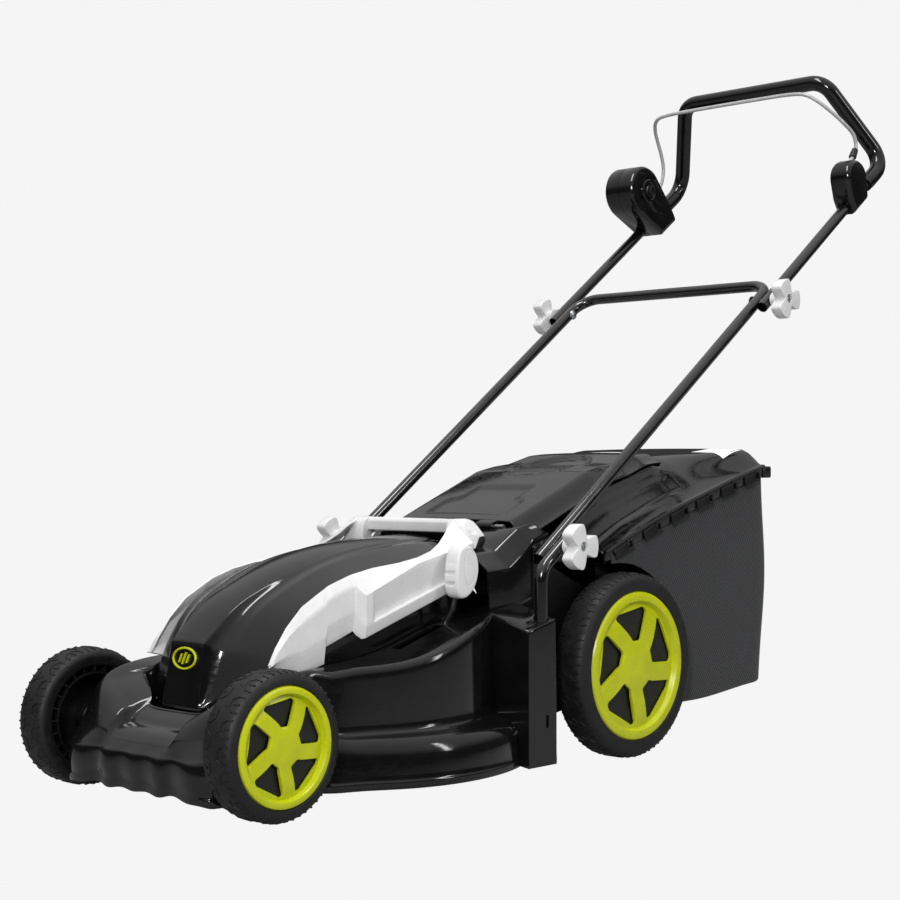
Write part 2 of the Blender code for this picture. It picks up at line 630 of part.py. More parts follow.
def wheels():
    for side, sign in (("left", 1), ("right", -1)):
        front = "front_wheel_" + side
        pivot(front, (sign * (FRONT_WHEEL_OUT - WHEEL_WIDTH / 2), *FRONT_WHEEL), "front_axle")
        wheel(front, FRONT_WHEEL, FRONT_WHEEL_R, FRONT_WHEEL_OUT, sign, front)
        rear = "rear_wheel_" + side
        pivot(rear, (sign * (REAR_WHEEL_OUT - WHEEL_WIDTH / 2), *REAR_WHEEL), "rear_axle")
        wheel(rear, REAR_WHEEL, REAR_WHEEL_R, REAR_WHEEL_OUT, sign, rear)
    axle("front_axle", FRONT_PIVOT, FRONT_WHEEL, .1462, FRONT_WHEEL_OUT - .0105)
    axle("rear_axle", REAR_PIVOT, REAR_WHEEL, .1575, REAR_WHEEL_OUT - .0105)


def height_link():
    """Cranked flat bar on the inner side of the lugs, with three pins through them."""
    outer = LUG_X - LUG_THICK / 2 - GAP
    inner = outer - 0.003
    line = [FRONT_PIN, (.088, .1100), (.160, .1280), LEVER_PIN, (.560, .1450), REAR_PIN]
    half = 0.0052
    top = [(y, z + half) for y, z in line]
    low = [(y, z - half) for y, z in line[::-1]]
    obj = place(prism(top + low, "X", inner, outer), "height_link", STEEL, "height_link")
    adds = [rod_hole(pin, BOLT_R, inner + .001, LUG_X + LUG_THICK / 2 + .0002, 12)
            for pin in (FRONT_PIN, LEVER_PIN, REAR_PIN)]
    combine(obj, "UNION", adds, "height_link")


def height_lever():
    low = LUG_X - LUG_THICK / 2
    foot = circle(.0085, 7, LEVER_PIVOT, LUG_REST + 90, 190)
    blade = foot + [(LEVER_PIVOT[0] + .0085, LEVER_PIVOT[1] + .006), (.3250, .1445), (.3262, .1530), (.3300, .1850),
                    (.3190, .1850), (.3080, .1500)]
    obj = place(prism(blade, "X", low, low + LUG_THICK), "lever_rod", STEEL, "height_lever")
    stem = [Vector((LUG_X, .3230, .178)), Vector((LUG_X, .3290, .198)), Vector((.1370, .3360, .213)),
            Vector((.1395, .3470, .246))]
    pins = [rod_hole(LEVER_PIVOT, .0040, low - .006, low + .001, 12)]
    combine(obj, "UNION", [tube(stem, .0036, sides=8)] + pins, "height_lever")
    cut = obj.modifiers.new("pin_hole", "BOOLEAN")
    cut.operation = "DIFFERENCE"
    cut.object = helper(rod_hole(LEVER_PIN, BOLT_R + RUN, .10, .15, 12), "_lever_pin_hole", "height_lever")
    face = [(.3280, .2310), (.3380, .2265), (.3500, .2290), (.3620, .2420), (.3675, .2600), (.3670, .2740),
            (.3590, .2900), (.3460, .2965), (.3350, .2930), (.3270, .2760), (.3250, .2500)]
    knob = place(prism(face, "X", .1285, .1530), "lever_knob", WHITE, "height_lever", 30)
    cut = knob.modifiers.new("stem_hole", "BOOLEAN")
    cut.operation = "DIFFERENCE"
    upper, tip = stem[2:]
    cut.object = helper(tube([upper + (upper - tip) * .5, tip + (tip - upper) * .03], .0040, sides=8),
                        "_stem_hole", "height_lever")


def height_quadrant():
    """Notched sector beside the lever, under the shelf, that holds the seven heights."""
    inner = .020
    outer = LUG_LENGTH + .006
    arc = []
    for i in range(7):
        start = LUG_REST - 4 + i * 10
        arc += [polar(LEVER_PIVOT, outer, start), polar(LEVER_PIVOT, outer, start + 5),
                polar(LEVER_PIVOT, outer - .004, start + 5), polar(LEVER_PIVOT, outer - .004, start + 10)]
    arc += circle(inner, 6, LEVER_PIVOT, LUG_REST + 66, -70)
    side = LUG_X + LUG_THICK / 2
    place(prism(arc, "X", side + .0015, side + .0040), "height_quadrant", STEEL)


# ---------------------------------------------------------------- flap and grass bag
def rear_flap():
    """Stepped cover that lies on the bag and swings up on its hinge."""
    top = [(.4860, .3230), (.5340, .3430), (.5910, .3660), (.6460, .3860), (.7140, .3980), (.7600, .4110),
           (.8000, .4150)]
    thick = .003
    sections = []
    for i, (y, z) in enumerate(top):
        wide = .132 - .012 * i / (len(top) - 1)
        half = [(0, z), (.070, z - .001), (.105, z - .006), (wide, z - .020 + .010 * i / (len(top) - 1))]
        upper = [(x, y, h) for x, h in half]
        lower = [(x, y, h - thick) for x, h in half]
        right = [(-x, y, h) for x, y, h in upper[1:]]
        right_low = [(-x, y, h) for x, y, h in lower[1:]]
        sections.append(right[::-1] + upper + lower[::-1] + right_low)
    obj = place(loft(sections), "rear_flap", BLACK, "rear_flap", 25)
    knuckles = [prism(circle(.0062, 12, FLAP_HINGE), "X", low, high) for low, high in both_sides(.050, .080)]
    necks = [prism([(.4780, .3150), (.4900, .3185), (.4900, .3235), (.4780, .3190)], "X", low, high)
             for low, high in both_sides(.050, .080)]
    combine(obj, "UNION", knuckles + necks, "rear_flap")
    bore = obj.modifiers.new("bore", "BOOLEAN")
    bore.operation = "DIFFERENCE"
    bore.object = helper(rod_hole(FLAP_HINGE, .0030 + RUN, -.2, .2, 12), "_hinge_bore", "rear_flap")
    rod = prism(circle(.0030, 12, FLAP_HINGE), "X", -.0980, .0980)
    place(rod, "flap_hinge_rod", STEEL, smooth=30)


def bag_cover():
    """Hard top of the bag, with its rim running down to the front."""
    rows = [(.5880, .3520, .1000, .1790, .2740), (.6460, .3745, .1040, .1830, .2990),
            (.7140, .3875, .1080, .1850, .3230), (.7650, .3990, .1120, .1860, .3390),
            (.8120, .4060, .1180, .1860, .3520), (.8910, .4160, .1200, .1860, .3740),
            (.9550, .4120, .1180, .1840, .3880), (.9800, .4000, .1120, .1800, .3900)]
    bm = bmesh.new()
    rings = []
    for y, top, flat, wide, rim in rows:
        half = [(0, y, top + .002), (flat * .6, y, top + .001), (flat, y, top - .002),
                (.155, y, top - (top - rim) * .38),
                (wide - .004, y, rim + .012), (wide, y, rim)]
        far = [(-x, y, z) for x, y, z in half[:0:-1]]
        rings.append([bm.verts.new(p) for p in far + half])
    skin(bm, rings, False, wrap=False)
    back = [bm.verts.new((v.co.x * .99, BAG_REAR + .006, min(v.co.z, .3920))) for v in rings[-1]]
    skin(bm, [rings[-1], back], False, wrap=False)
    obj = place(bm, "bag_cover", BLACK, "grass_bag", 30)
    wall = obj.modifiers.new("wall", "SOLIDIFY")
    wall.thickness = COVER_WALL
    wall.offset = -1
    return obj


def bag_side(inset, top_lift):
    """Side outline of the bag (y, z), shrunk by inset."""
    i = inset
    return [(BAG_FRONT + i, .062 + i), (BAG_REAR - .020 - i, .070 + i), (BAG_REAR - i, .085 + i),
            (BAG_REAR - .003 - i, .3850 + top_lift), (.8910, .3700 + top_lift), (.7650, .3350 + top_lift),
            (BAG_FRONT + i, .3320 + top_lift)]


def bag_wing(inset, top_lift):
    """Part of the bag above the rear wheels."""
    i = inset
    return [(.6000 + i, .2640 + i), (BAG_FRONT + .010, .2640 + i), (BAG_FRONT + .010, .3300 + top_lift),
            (.6460, .2950 + top_lift), (.6000 + i, .2750 + top_lift)]


def bag_neck(inset, top_lift):
    """Mouth between the rear wheels, cut off along the slope of the chute."""
    i = inset
    return [(BAG_FRONT + .010, .1720 + i), (.7450, .1680 + i), (.6200, .2400), (.6200, .2800 + top_lift),
            (BAG_FRONT + .010, .3200 + top_lift)]


def bag_fabric():
    """Open-topped bag of woven cloth, one closed wall with a mouth towards the chute."""
    half = BAG_HALF
    obj = place(prism(bag_side(0, 0), "X", -half, half), "bag_fabric", FABRIC, "grass_bag")
    outer = [prism(bag_wing(0, 0), "X", -half, half), prism(bag_neck(0, 0), "X", -.1420, .1420)]
    combine(obj, "UNION", outer, "grass_bag")
    w = BAG_WALL
    inner = [prism(bag_side(w, .03), "X", -half + w, half - w), prism(bag_wing(w, .03), "X", -half + w, half - w)]
    mouth = [(BAG_FRONT + .012, .1720 + w), (.7350, .1720 + w), (.6000, .2440), (.5950, .4100),
             (BAG_FRONT + .012, .4200)]
    inner.append(prism(mouth, "X", -.1390, .1390))
    for i, bm in enumerate(inner):
        cut = obj.modifiers.new("hollow" + str(i), "BOOLEAN")
        cut.operation = "DIFFERENCE"
        cut.object = helper(bm, "_hollow" + str(i), "grass_bag")
    return obj


def bag_handle():
    """Bowed white grip on the bag's lid, behind the flap."""
    outline = circle(.075, 9, (0, .7700), 40, 100)
    inner = circle(.063, 9, (0, .7700), 140, -100)
    return place(prism(outline + inner, "Z", .4188, .4240), "bag_handle", WHITE, "grass_bag")


# ---------------------------------------------------------------- handle
def tube_with_holes(name, path, mat, body, holes, sides=8, radius=TUBE_R):
    obj = place(tube(path, radius, TUBE_WALL, sides), name, mat, body, 40)
    for i, at in enumerate(holes):
        cut = obj.modifiers.new("bolt_hole" + str(i), "BOOLEAN")
        cut.operation = "DIFFERENCE"
        cut.object = helper(rod_hole(at, BOLT_R + RUN, -.25, .25, 10), "_" + name + str(i), body)
    return obj


def along(start, distance):
    """Point on the handle's slope, distance from start (y, z)."""
    return (start[0] + distance * math.cos(SLOPE), start[1] + distance * math.sin(SLOPE))


def brackets():
    """Bent tubes that stand in the towers."""
    y = bracket_y()
    corner = (y, LOWER_BOLT[1] - (LOWER_BOLT[0] - y) * math.tan(SLOPE))
    for side, sign in (("left", 1), ("right", -1)):
        x = sign * OUTER_TUBE_X
        path = rounded([(x, y, .105), (x, *corner), (x, *along(LOWER_BOLT, .036))], .030, 4)
        tube_with_holes("handle_bracket_" + side, path, PAINT, "mower", [LOWER_BOLT])


def middle_handle():
    """Inverted U whose top is the crossbar."""
    x = INNER_TUBE_X
    corner = along(UPPER_BOLT, .046)
    points = [(x, *along(LOWER_BOLT, -.028)), (x, *corner)]
    points += [(-x, *corner), (-x, *along(LOWER_BOLT, -.028))]
    path = rounded(points, .034, 3)
    tube_with_holes("middle_handle", path, PAINT, "middle_handle", [LOWER_BOLT, UPPER_BOLT])


def upper_path(reach):
    """Centre line of the upper handle; reach is where it starts, measured from the upper bolt."""
    x = OUTER_TUBE_X
    half = [(x, *along(UPPER_BOLT, reach)), (x, *HANDLE_END), GRIP_TOP]
    return half + [(-p[0], p[1], p[2]) for p in half[::-1]]


def upper_handle():
    path = rounded(upper_path(-.034), .036, 3)
    tube_with_holes("upper_handle", path, PAINT, "upper_handle", [UPPER_BOLT])
    place(tube(path[2:-2], GRIP_R, GRIP_WALL, 10), "grip_sleeve", BLACK, "upper_handle", 40)


def hull(points):
    """Outline of the smallest convex shape around the points, counterclockwise."""
    def cross(o, a, b):
        return (a[0] - o[0]) * (b[1] - o[1]) - (a[1] - o[1]) * (b[0] - o[0])

    chains = []
    for ordered in (sorted(points), sorted(points, reverse=True)):
        chain = []
        for point in ordered:
            while len(chain) > 1 and cross(chain[-2], chain[-1], point) <= 1e-9:
                chain.pop()
            chain.append(point)
        chains.append(chain[:-1])
    return chains[0] + chains[1]


def housing_outline(center, radius, reach):
    """Teardrop in the (y, z) plane: a disc that tapers to the clamp round the tube below it."""
    half = .0130
    corners = []
    for distance in (reach - .030, reach + .030):
        y, z = along(UPPER_BOLT, distance)
        corners += [(y + lift * math.sin(SLOPE), z - lift * math.cos(SLOPE)) for lift in (half, -half)]
    return hull(corners + circle(radius, 20, center))


def handle_boxes():
    """Switch box on the operator's right and bail pivot box on the left."""
    reach = (BAIL_PIVOT[0] - UPPER_BOLT[0]) / math.cos(SLOPE) + .004
    bore = tube([Vector((OUTER_TUBE_X, *along(UPPER_BOLT, -.2))), Vector((OUTER_TUBE_X, *along(UPPER_BOLT, .6)))],
                TUBE_R + GAP, sides=12)
    slot = block((.1905, BAIL_PIVOT[0] - .012, BAIL_PIVOT[1] - .012),
                 (.2035, BAIL_PIVOT[0] + .028, BAIL_PIVOT[1] + .08))
    near = place(prism(housing_outline(PIVOT_DISC, .032, reach), "X", .1830, .2200), "pivot_box", BLACK,
                 "upper_handle", 30)
    combine(near, "DIFFERENCE", [bore.copy(), slot.copy(), rod_hole(BAIL_PIVOT, BAIL_R + RUN, .1860, .2120, 12)],
            "upper_handle")
    split = -.1905
    outline = housing_outline(SWITCH_DISC, .043, reach)
    outer = place(prism(outline, "X", -.2200, split - GAP), "switch_box_outer", BLACK, "upper_handle", 30)
    combine(outer, "DIFFERENCE", [mirrored(bore.copy())], "upper_handle")
    inner = place(prism(outline, "X", split, -.1600), "switch_box_inner", BLACK, "upper_handle", 30)
    pocket = block((split - .001, BUTTON_AT[0] - .016, BUTTON_AT[1] - .018),
                   (-.1640, BUTTON_AT[0] + .016, BUTTON_AT[1] + .018))
    far_slot = block((-.1855, BAIL_PIVOT[0] - .012, BAIL_PIVOT[1] - .012),
                     (-.1725, BAIL_PIVOT[0] + .05, BAIL_PIVOT[1] + .08))
    cuts = [mirrored(bore.copy()), pocket, rod_hole(BUTTON_AT, BUTTON_R + RUN, -.1700, -.1500, 16), far_slot,
            rod_hole(BAIL_PIVOT, BAIL_R + RUN, -.1880, -.1650, 12)]
    combine(inner, "DIFFERENCE", cuts, "upper_handle")
    pivot("safety_button", (-.1600, *BUTTON_AT), "upper_handle")
    button = turned([(0, -.1660), (BUTTON_R - .0015, -.1660), (BUTTON_R, -.1650), (BUTTON_R, -.1560),
                     (BUTTON_R - .003, -.1545), (BUTTON_R - .003, -.1500), (0, -.1495)], "X", (0, *BUTTON_AT), 20)
    place(button, "safety_button", BLACK, "safety_button", 30)
    switch = block((split + .0005, BUTTON_AT[0] - .013, BUTTON_AT[1] - .008),
                   (-.1745, BUTTON_AT[0] + .013, BUTTON_AT[1] + .008))
    place(switch, "microswitch", BLACK_MATT, "upper_handle")
    bore.free()
    slot.free()


def bail():
    """Sprung wire that the operator holds against the grip."""
    y, z = BAIL_PIVOT
    near = [(.1885, y, z), (.1970, y, z), (.1970, y + .012, z + .036), (.1900, y - .002, z + .072),
            (.1560, y - .036, z + .124), (.1200, y - .040, z + .128)]
    far = [(-.1865, y, z), (-.1790, y, z), (-.1790, y + .004, z + .036), (-.1740, y - .012, z + .074),
           (-.1560, y - .034, z + .120), (-.1300, y - .040, z + .128)]
    path = rounded(far + near[::-1], .0068, 2)
    place(tube(path, BAIL_R, sides=8), "bail_rod", STEEL, "bail", 40)


def knobs():
    """Three-lobed nuts on carriage bolts; the bolts stay with the inner member."""
    spots = (("lower", LOWER_BOLT, "mower"), ("upper", UPPER_BOLT, "middle_handle"))
    for level, at, body in spots:
        for side, sign in (("left", 1), ("right", -1)):
            name = level + "_knob_" + side
            pivot(name, (sign * KNOB_OUT, *at), body if level == "lower" else "middle_handle")
            lobes = []
            for i in range(36):
                turn = math.radians(10 * i + 15)
                wave = math.cos(3 * turn - math.radians(20))
                lobes.append((at[0] + KNOB_R * (.74 + .26 * wave) * math.cos(turn),
                              at[1] + KNOB_R * (.74 + .26 * wave) * math.sin(turn)))
            neck = OUTER_TUBE_X + TUBE_R + .0015
            bm = prism(lobes, "X", KNOB_OUT - .016, KNOB_OUT)
            stem = prism(circle(.0105, 14, at), "X", neck, KNOB_OUT - .015)
            hole = rod_hole(at, BOLT_R + RUN, neck - .002, KNOB_OUT - .003, 12)
            head = INNER_TUBE_X - TUBE_R - .0012
            bolt = [(0, head - .0035), (.0045, head - .0030), (.0072, head - .0008), (.0072, head),
                    (BOLT_R, head), (BOLT_R, KNOB_OUT - .0045), (0, KNOB_OUT - .0045)]
            shank = turned(bolt, "X", (0, *at), 14)
            if sign < 0:
                bm, stem, hole, shank = (mirrored(shape) for shape in (bm, stem, hole, shank))
            obj = place(bm, name, WHITE, name, 30)
            combine(obj, "UNION", [stem], name)
            cut = obj.modifiers.new("bolt_hole", "BOOLEAN")
            cut.operation = "DIFFERENCE"
            cut.object = helper(hole, "_" + name, name)
            place(shank, level + "_bolt_" + side, STEEL, body, 30)


deck_shell()
chamber_baffle()
rear_chassis()
rear_cowl()
motor_hood()
side_trim(1)
side_trim(-1)
carry_handle()
vent_grille()
nose_badge()
motor()
cutter()
wheels()
height_link()
height_lever()
height_quadrant()
rear_flap()
bag_cover()
bag_fabric()
bag_handle()
brackets()
middle_handle()
upper_handle()
handle_boxes()
bail()
knobs()


def center_footprint():
    """Move the mower so that the origin is in the middle of its length, on the ground."""
    bpy.context.view_layer.update()
    graph = bpy.context.evaluated_depsgraph_get()
    ends = []
    for obj in bpy.data.objects:
        if obj.type == "MESH" and not obj.hide_render:
            shape = obj.evaluated_get(graph)
            ends += [(shape.matrix_world @ Vector(corner)).y for corner in shape.bound_box]
    ROOT.location.y = -(min(ends) + max(ends)) / 2


center_footprint()
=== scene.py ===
# %% [markdown]
# # A garden mower in a plain studio
# The mower's working parts arrive as plain solids that are the right size and in the right place.
# This lesson gives them their looks: moulded plastics, painted tube, woven bag cloth and fine shapes.
# The first lines load those solids as a fixed frame. Nothing in the frame is ever moved.

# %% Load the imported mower
import json
import math

import bmesh
import bpy
from mathutils import Matrix, Vector


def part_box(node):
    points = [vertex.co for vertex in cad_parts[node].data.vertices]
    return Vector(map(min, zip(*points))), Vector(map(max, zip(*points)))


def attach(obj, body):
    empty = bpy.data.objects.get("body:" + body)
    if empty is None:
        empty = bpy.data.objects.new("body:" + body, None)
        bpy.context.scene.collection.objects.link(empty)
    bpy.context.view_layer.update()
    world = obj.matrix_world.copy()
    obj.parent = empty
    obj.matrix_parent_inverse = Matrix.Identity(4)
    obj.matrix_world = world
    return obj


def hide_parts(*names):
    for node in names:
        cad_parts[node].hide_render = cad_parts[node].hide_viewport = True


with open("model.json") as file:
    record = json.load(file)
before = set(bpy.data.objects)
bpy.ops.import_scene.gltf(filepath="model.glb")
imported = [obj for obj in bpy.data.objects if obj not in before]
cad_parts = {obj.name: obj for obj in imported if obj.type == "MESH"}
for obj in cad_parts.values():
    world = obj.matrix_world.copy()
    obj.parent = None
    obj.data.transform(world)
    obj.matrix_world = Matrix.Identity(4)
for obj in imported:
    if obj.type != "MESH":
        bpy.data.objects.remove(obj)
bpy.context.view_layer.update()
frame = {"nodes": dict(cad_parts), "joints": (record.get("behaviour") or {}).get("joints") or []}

PIVOT = {j["name"]: Vector(j["pos_m"]) for j in frame["joints"] if "pos_m" in j}

# %% [markdown]
# Every piece below is drawn in a handy frame: the front axle at Y = 0 and the ground at Z = 0. One number,
# the axle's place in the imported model, moves each finished mesh home. The object itself stays at the
# origin, so that patterns that read object coordinates never slide. Lengths are in metres.

# %% Where things are
def middle(node):
    low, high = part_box(node)
    return (low + high) / 2


AXLE_Y = middle("front_wheel_left_tyre").y
WHEELBASE = middle("rear_wheel_left_tyre").y - AXLE_Y
FRONT_R = (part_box("front_wheel_left_tyre")[1].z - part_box("front_wheel_left_tyre")[0].z) / 2
REAR_R = (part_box("rear_wheel_left_tyre")[1].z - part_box("rear_wheel_left_tyre")[0].z) / 2
print("front wheel", round(FRONT_R, 4), "rear wheel", round(REAR_R, 4), "wheelbase", round(WHEELBASE, 4))

# %% [markdown]
# A mesh is built loose, given modifiers, and then frozen: Blender evaluates the modifiers, the result
# becomes the object's own mesh, and the piece is handed to the body that carries it.

# %% Build and freeze a piece
def loose(name, bm):
    """A bmesh becomes an object with outward faces."""
    bmesh.ops.remove_doubles(bm, verts=bm.verts, dist=1e-6)
    bmesh.ops.recalc_face_normals(bm, faces=bm.faces)
    mesh = bpy.data.meshes.new(name)
    bm.to_mesh(mesh)
    bm.free()
    obj = bpy.data.objects.new(name, mesh)
    bpy.context.scene.collection.objects.link(obj)
    return obj


def add_modifier(obj, kind, **settings):
    modifier = obj.modifiers.new(kind.lower(), kind)
    for key, value in settings.items():
        setattr(modifier, key, value)
    return modifier


def freeze(obj):
    """Replace the object's mesh by its evaluated one."""
    bpy.context.view_layer.update()
    graph = bpy.context.evaluated_depsgraph_get()
    mesh = bpy.data.meshes.new_from_object(obj.evaluated_get(graph))
    obj.modifiers.clear()
    obj.data = mesh
    mesh.name = obj.name
    return obj


def settle(obj, finish, body, slot, *nodes, sharp=32):
    """Freeze the piece, shade it, carry it to its place and let its body take it along."""
    freeze(obj)
    obj.data.materials.clear()
    obj.data.materials.append(finish)
    obj.data.shade_smooth()
    obj.data.set_sharp_from_angle(angle=math.radians(sharp))
    obj.data.transform(Matrix.Translation((0, AXLE_Y, 0)))
    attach(obj, body)
    if nodes:
        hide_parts(*nodes)
    return obj


def smooth_by(obj, levels=2):
    return add_modifier(obj, "SUBSURF", levels=levels, render_levels=levels)


def bevel_by(obj, width, segments=2, angle=35):
    return add_modifier(obj, "BEVEL", width=width, segments=segments, limit_method="ANGLE",
                        angle_limit=math.radians(angle))


def cut_by(obj, *cutters, operation="DIFFERENCE"):
    """Cut with closed shapes and throw the cutters away."""
    for cutter in cutters:
        tool = cutter if isinstance(cutter, bpy.types.Object) else loose("cutter", cutter)
        add_modifier(obj, "BOOLEAN", operation=operation, solver="MANIFOLD", object=tool)
        freeze(obj)
        bpy.data.objects.remove(tool)
    return obj


# %% Shapes that several pieces share
def bridge(bm, rings, closed=True, looped=False):
    """Quads between neighbouring rows of vertices; a row may meet itself and the rows may meet each other."""
    pairs = list(zip(rings, rings[1:])) + ([(rings[-1], rings[0])] if looped else [])
    for near, far in pairs:
        for i in range(len(near) if closed else len(near) - 1):
            j = (i + 1) % len(near)
            corners = list(dict.fromkeys((near[i], near[j], far[j], far[i])))
            if len(corners) > 2:
                bm.faces.new(corners)


def lathe(profile, center, segments=72, axis="X"):
    """Turn a closed (radius, along) profile about an axis through center."""
    bm = bmesh.new()
    rings = []
    for i in range(segments):
        turn = 2 * math.pi * i / segments
        side, up = math.cos(turn), math.sin(turn)
        if axis == "X":
            rings.append([bm.verts.new((s, r * side, r * up)) for r, s in profile])
        else:
            rings.append([bm.verts.new((r * side, r * up, s)) for r, s in profile])
    bridge(bm, rings, looped=True)
    bmesh.ops.remove_doubles(bm, verts=bm.verts, dist=1e-6)
    bmesh.ops.dissolve_degenerate(bm, edges=bm.edges, dist=1e-7)
    bmesh.ops.translate(bm, vec=center, verts=bm.verts)
    return bm


def plate(outline, axis, low, high):
    """Extrude a closed outline: (y, z) along X, (x, z) along Y or (x, y) along Z."""
    put = {"X": lambda a, b, c: (c, a, b), "Y": lambda a, b, c: (a, c, b), "Z": lambda a, b, c: (a, b, c)}
    bm = bmesh.new()
    rows = [[bm.verts.new(put[axis](a, b, c)) for a, b in outline] for c in (low, high)]
    bridge(bm, rows)
    for row in rows:
        bm.faces.new(row)
    return bm


def box(low, high):
    return plate([(low[0], low[1]), (high[0], low[1]), (high[0], high[1]), (low[0], high[1])],
                 "Z", low[2], high[2])


def ring_points(radius, count, center=(0, 0)):
    turns = [math.radians(360 * i / count) for i in range(count)]
    return [(center[0] + radius * math.cos(t), center[1] + radius * math.sin(t)) for t in turns]


def round_corners(points, radius, steps=8):
    """Replace the corners of an open path by arcs."""
    path = [Vector(points[0])]
    for before, corner, after in zip(points, points[1:], points[2:]):
        corner = Vector(corner)
        back, ahead = (Vector(before) - corner).normalized(), (Vector(after) - corner).normalized()
        half = back.angle(ahead) / 2
        center = corner + (back + ahead).normalized() * radius / math.sin(half)
        start = corner + back * radius / math.tan(half) - center
        end = corner + ahead * radius / math.tan(half) - center
        turn = start.angle(end)
        for i in range(steps + 1):
            share = i / steps
            path.append(center + (start * math.sin((1 - share) * turn) + end * math.sin(share * turn))
                        / math.sin(turn))
    return path + [Vector(points[-1])]


def sweep(path, radius, wall=None, sides=28):
    """A round rod or, with a wall, a pipe along a path. The radius may be a function of the share
    travelled."""
    bm = bmesh.new()
    path = [Vector(p) for p in path]
    tangents = [(path[min(i + 1, len(path) - 1)] - path[max(i - 1, 0)]).normalized()
                for i in range(len(path))]
    across = tangents[0].orthogonal().normalized()
    outer, inner = [], []
    for i, (point, along) in enumerate(zip(path, tangents)):
        across = (across - along * across.dot(along)).normalized()
        up = along.cross(across)
        spokes = [across * math.cos(t) + up * math.sin(t)
                  for t in (2 * math.pi * k / sides for k in range(sides))]
        size = radius(i / (len(path) - 1)) if callable(radius) else radius
        outer.append([bm.verts.new(point + s * size) for s in spokes])
        if wall:
            inner.append([bm.verts.new(point + s * (size - wall)) for s in spokes])
    bridge(bm, outer + inner[::-1], looped=bool(wall))
    if not wall:
        bm.faces.new(outer[0])
        bm.faces.new(outer[-1])
    return bm


def merged(*parts):
    """One bmesh that holds several."""
    whole = bmesh.new()
    for part in parts:
        mesh = bpy.data.meshes.new("part")
        part.to_mesh(mesh)
        part.free()
        whole.from_mesh(mesh)
        bpy.data.meshes.remove(mesh)
    return whole


def flipped(bm):
    """The same shape on the other side of the mower."""
    bmesh.ops.scale(bm, vec=(-1, 1, 1), verts=bm.verts)
    bmesh.ops.reverse_faces(bm, faces=bm.faces)
    return bm


# %% [markdown]
# ## Finishes
# A finish starts from what the real surface is and how it was made. Colours are written as the hex
# values a painter would read off a chart, and one function turns them into the linear light that a
# renderer adds up. One more function adds a node with its settings and its links.

# %% Colour and node helpers
def linear(code):
    """A hex colour such as '#c2ca1d' as linear RGBA."""
    parts = [int(code[i:i + 2], 16) / 255 for i in (1, 3, 5)]
    return (*[c / 12.92 if c <= 0.04045 else ((c + 0.055) / 1.055) ** 2.4 for c in parts], 1.0)


def add_node(tree, kind, links=(), **settings):
    """A node of that kind; settings are its own properties or, with in_ before a name, its sockets'
    values."""
    node = tree.nodes.new(kind)
    for key, value in settings.items():
        if key.startswith("in_"):
            node.inputs[key[3:].replace("_", " ")].default_value = value
        else:
            setattr(node, key, value)
    for name, socket in dict(links).items():
        tree.links.new(socket, node.inputs[name])
    return node


def new_finish(name, roughness, metallic=0.0, **sockets):
    """A Principled material and its tree; sockets are constants on the shader itself."""
    finish = bpy.data.materials.new(name)
    finish.use_nodes = True
    tree = finish.node_tree
    shader = tree.nodes["Principled BSDF"]
    shader.inputs["Roughness"].default_value = roughness
    shader.inputs["Metallic"].default_value = metallic
    for key, value in sockets.items():
        shader.inputs[key.replace("_", " ")].default_value = value
    return finish, tree, shader


def grain(tree, size_mm, detail=3.0, coordinates="Object", stretch=(1, 1, 1)):
    """Noise whose blotches are about size_mm across, in the piece's own coordinates."""
    place = add_node(tree, "ShaderNodeTexCoord")
    turned = add_node(tree, "ShaderNodeMapping", {"Vector": place.outputs[coordinates]}, in_Scale=stretch)
    return add_node(tree, "ShaderNodeTexNoise", {"Vector": turned.outputs["Vector"]},
                    in_Scale=1000.0 / size_mm, in_Detail=detail, in_Roughness=0.55)


def spread(tree, source, low, high):
    """Map a texture's usual range to low..high."""
    return add_node(tree, "ShaderNodeMapRange", {"Value": source}, in_From_Min=0.35, in_From_Max=0.65,
                    in_To_Min=low, in_To_Max=high).outputs["Result"]


def two_tone(tree, source, dark, light, low=0.35, high=0.65):
    """A ramp from one hex colour to another."""
    ramp = add_node(tree, "ShaderNodeValToRGB", {"Fac": source})
    ramp.color_ramp.elements[0].position, ramp.color_ramp.elements[0].color = low, linear(dark)
    ramp.color_ramp.elements[1].position, ramp.color_ramp.elements[1].color = high, linear(light)
    return ramp.outputs["Color"]


def bump(tree, shader, height, depth_mm, strength=1.0, under=None):
    """Raise the surface by the height texture, depth_mm at its brightest."""
    links = {"Height": height}
    if under is not None:
        links["Normal"] = under
    made = add_node(tree, "ShaderNodeBump", links, in_Strength=strength, in_Distance=depth_mm / 1000)
    tree.links.new(made.outputs["Normal"], shader.inputs["Normal"])
    return made.outputs["Normal"]


# %% [markdown]
# **Gloss ABS.** The deck and hood are injection-moulded from black ABS in a polished tool, so the
# surface mirrors the studio, broken only by the faint waviness that the plastic takes as it shrinks.
# The waviness is a broad, very shallow bump. Dust and fine scuffs lift the roughness in patches.

# %% Plastics
def moulded(name, dark, light, gloss, scuffed, wave_mm=0.05, wave_size=60, speck_mm=0.0, **sockets):
    finish, tree, shader = new_finish(name, gloss, IOR=1.5, **sockets)
    cloudy = grain(tree, 35, detail=4)
    tree.links.new(two_tone(tree, cloudy.outputs["Fac"], dark, light), shader.inputs["Base Color"])
    scuffs = grain(tree, 9, detail=6, stretch=(1, 1, 2.5))
    tree.links.new(spread(tree, scuffs.outputs["Fac"], gloss, scuffed), shader.inputs["Roughness"])
    waves = grain(tree, wave_size, detail=1)
    under = bump(tree, shader, waves.outputs["Fac"], wave_mm)
    if speck_mm:
        fine = grain(tree, 1.2, detail=2)
        bump(tree, shader, fine.outputs["Fac"], speck_mm, under=under)
    return finish


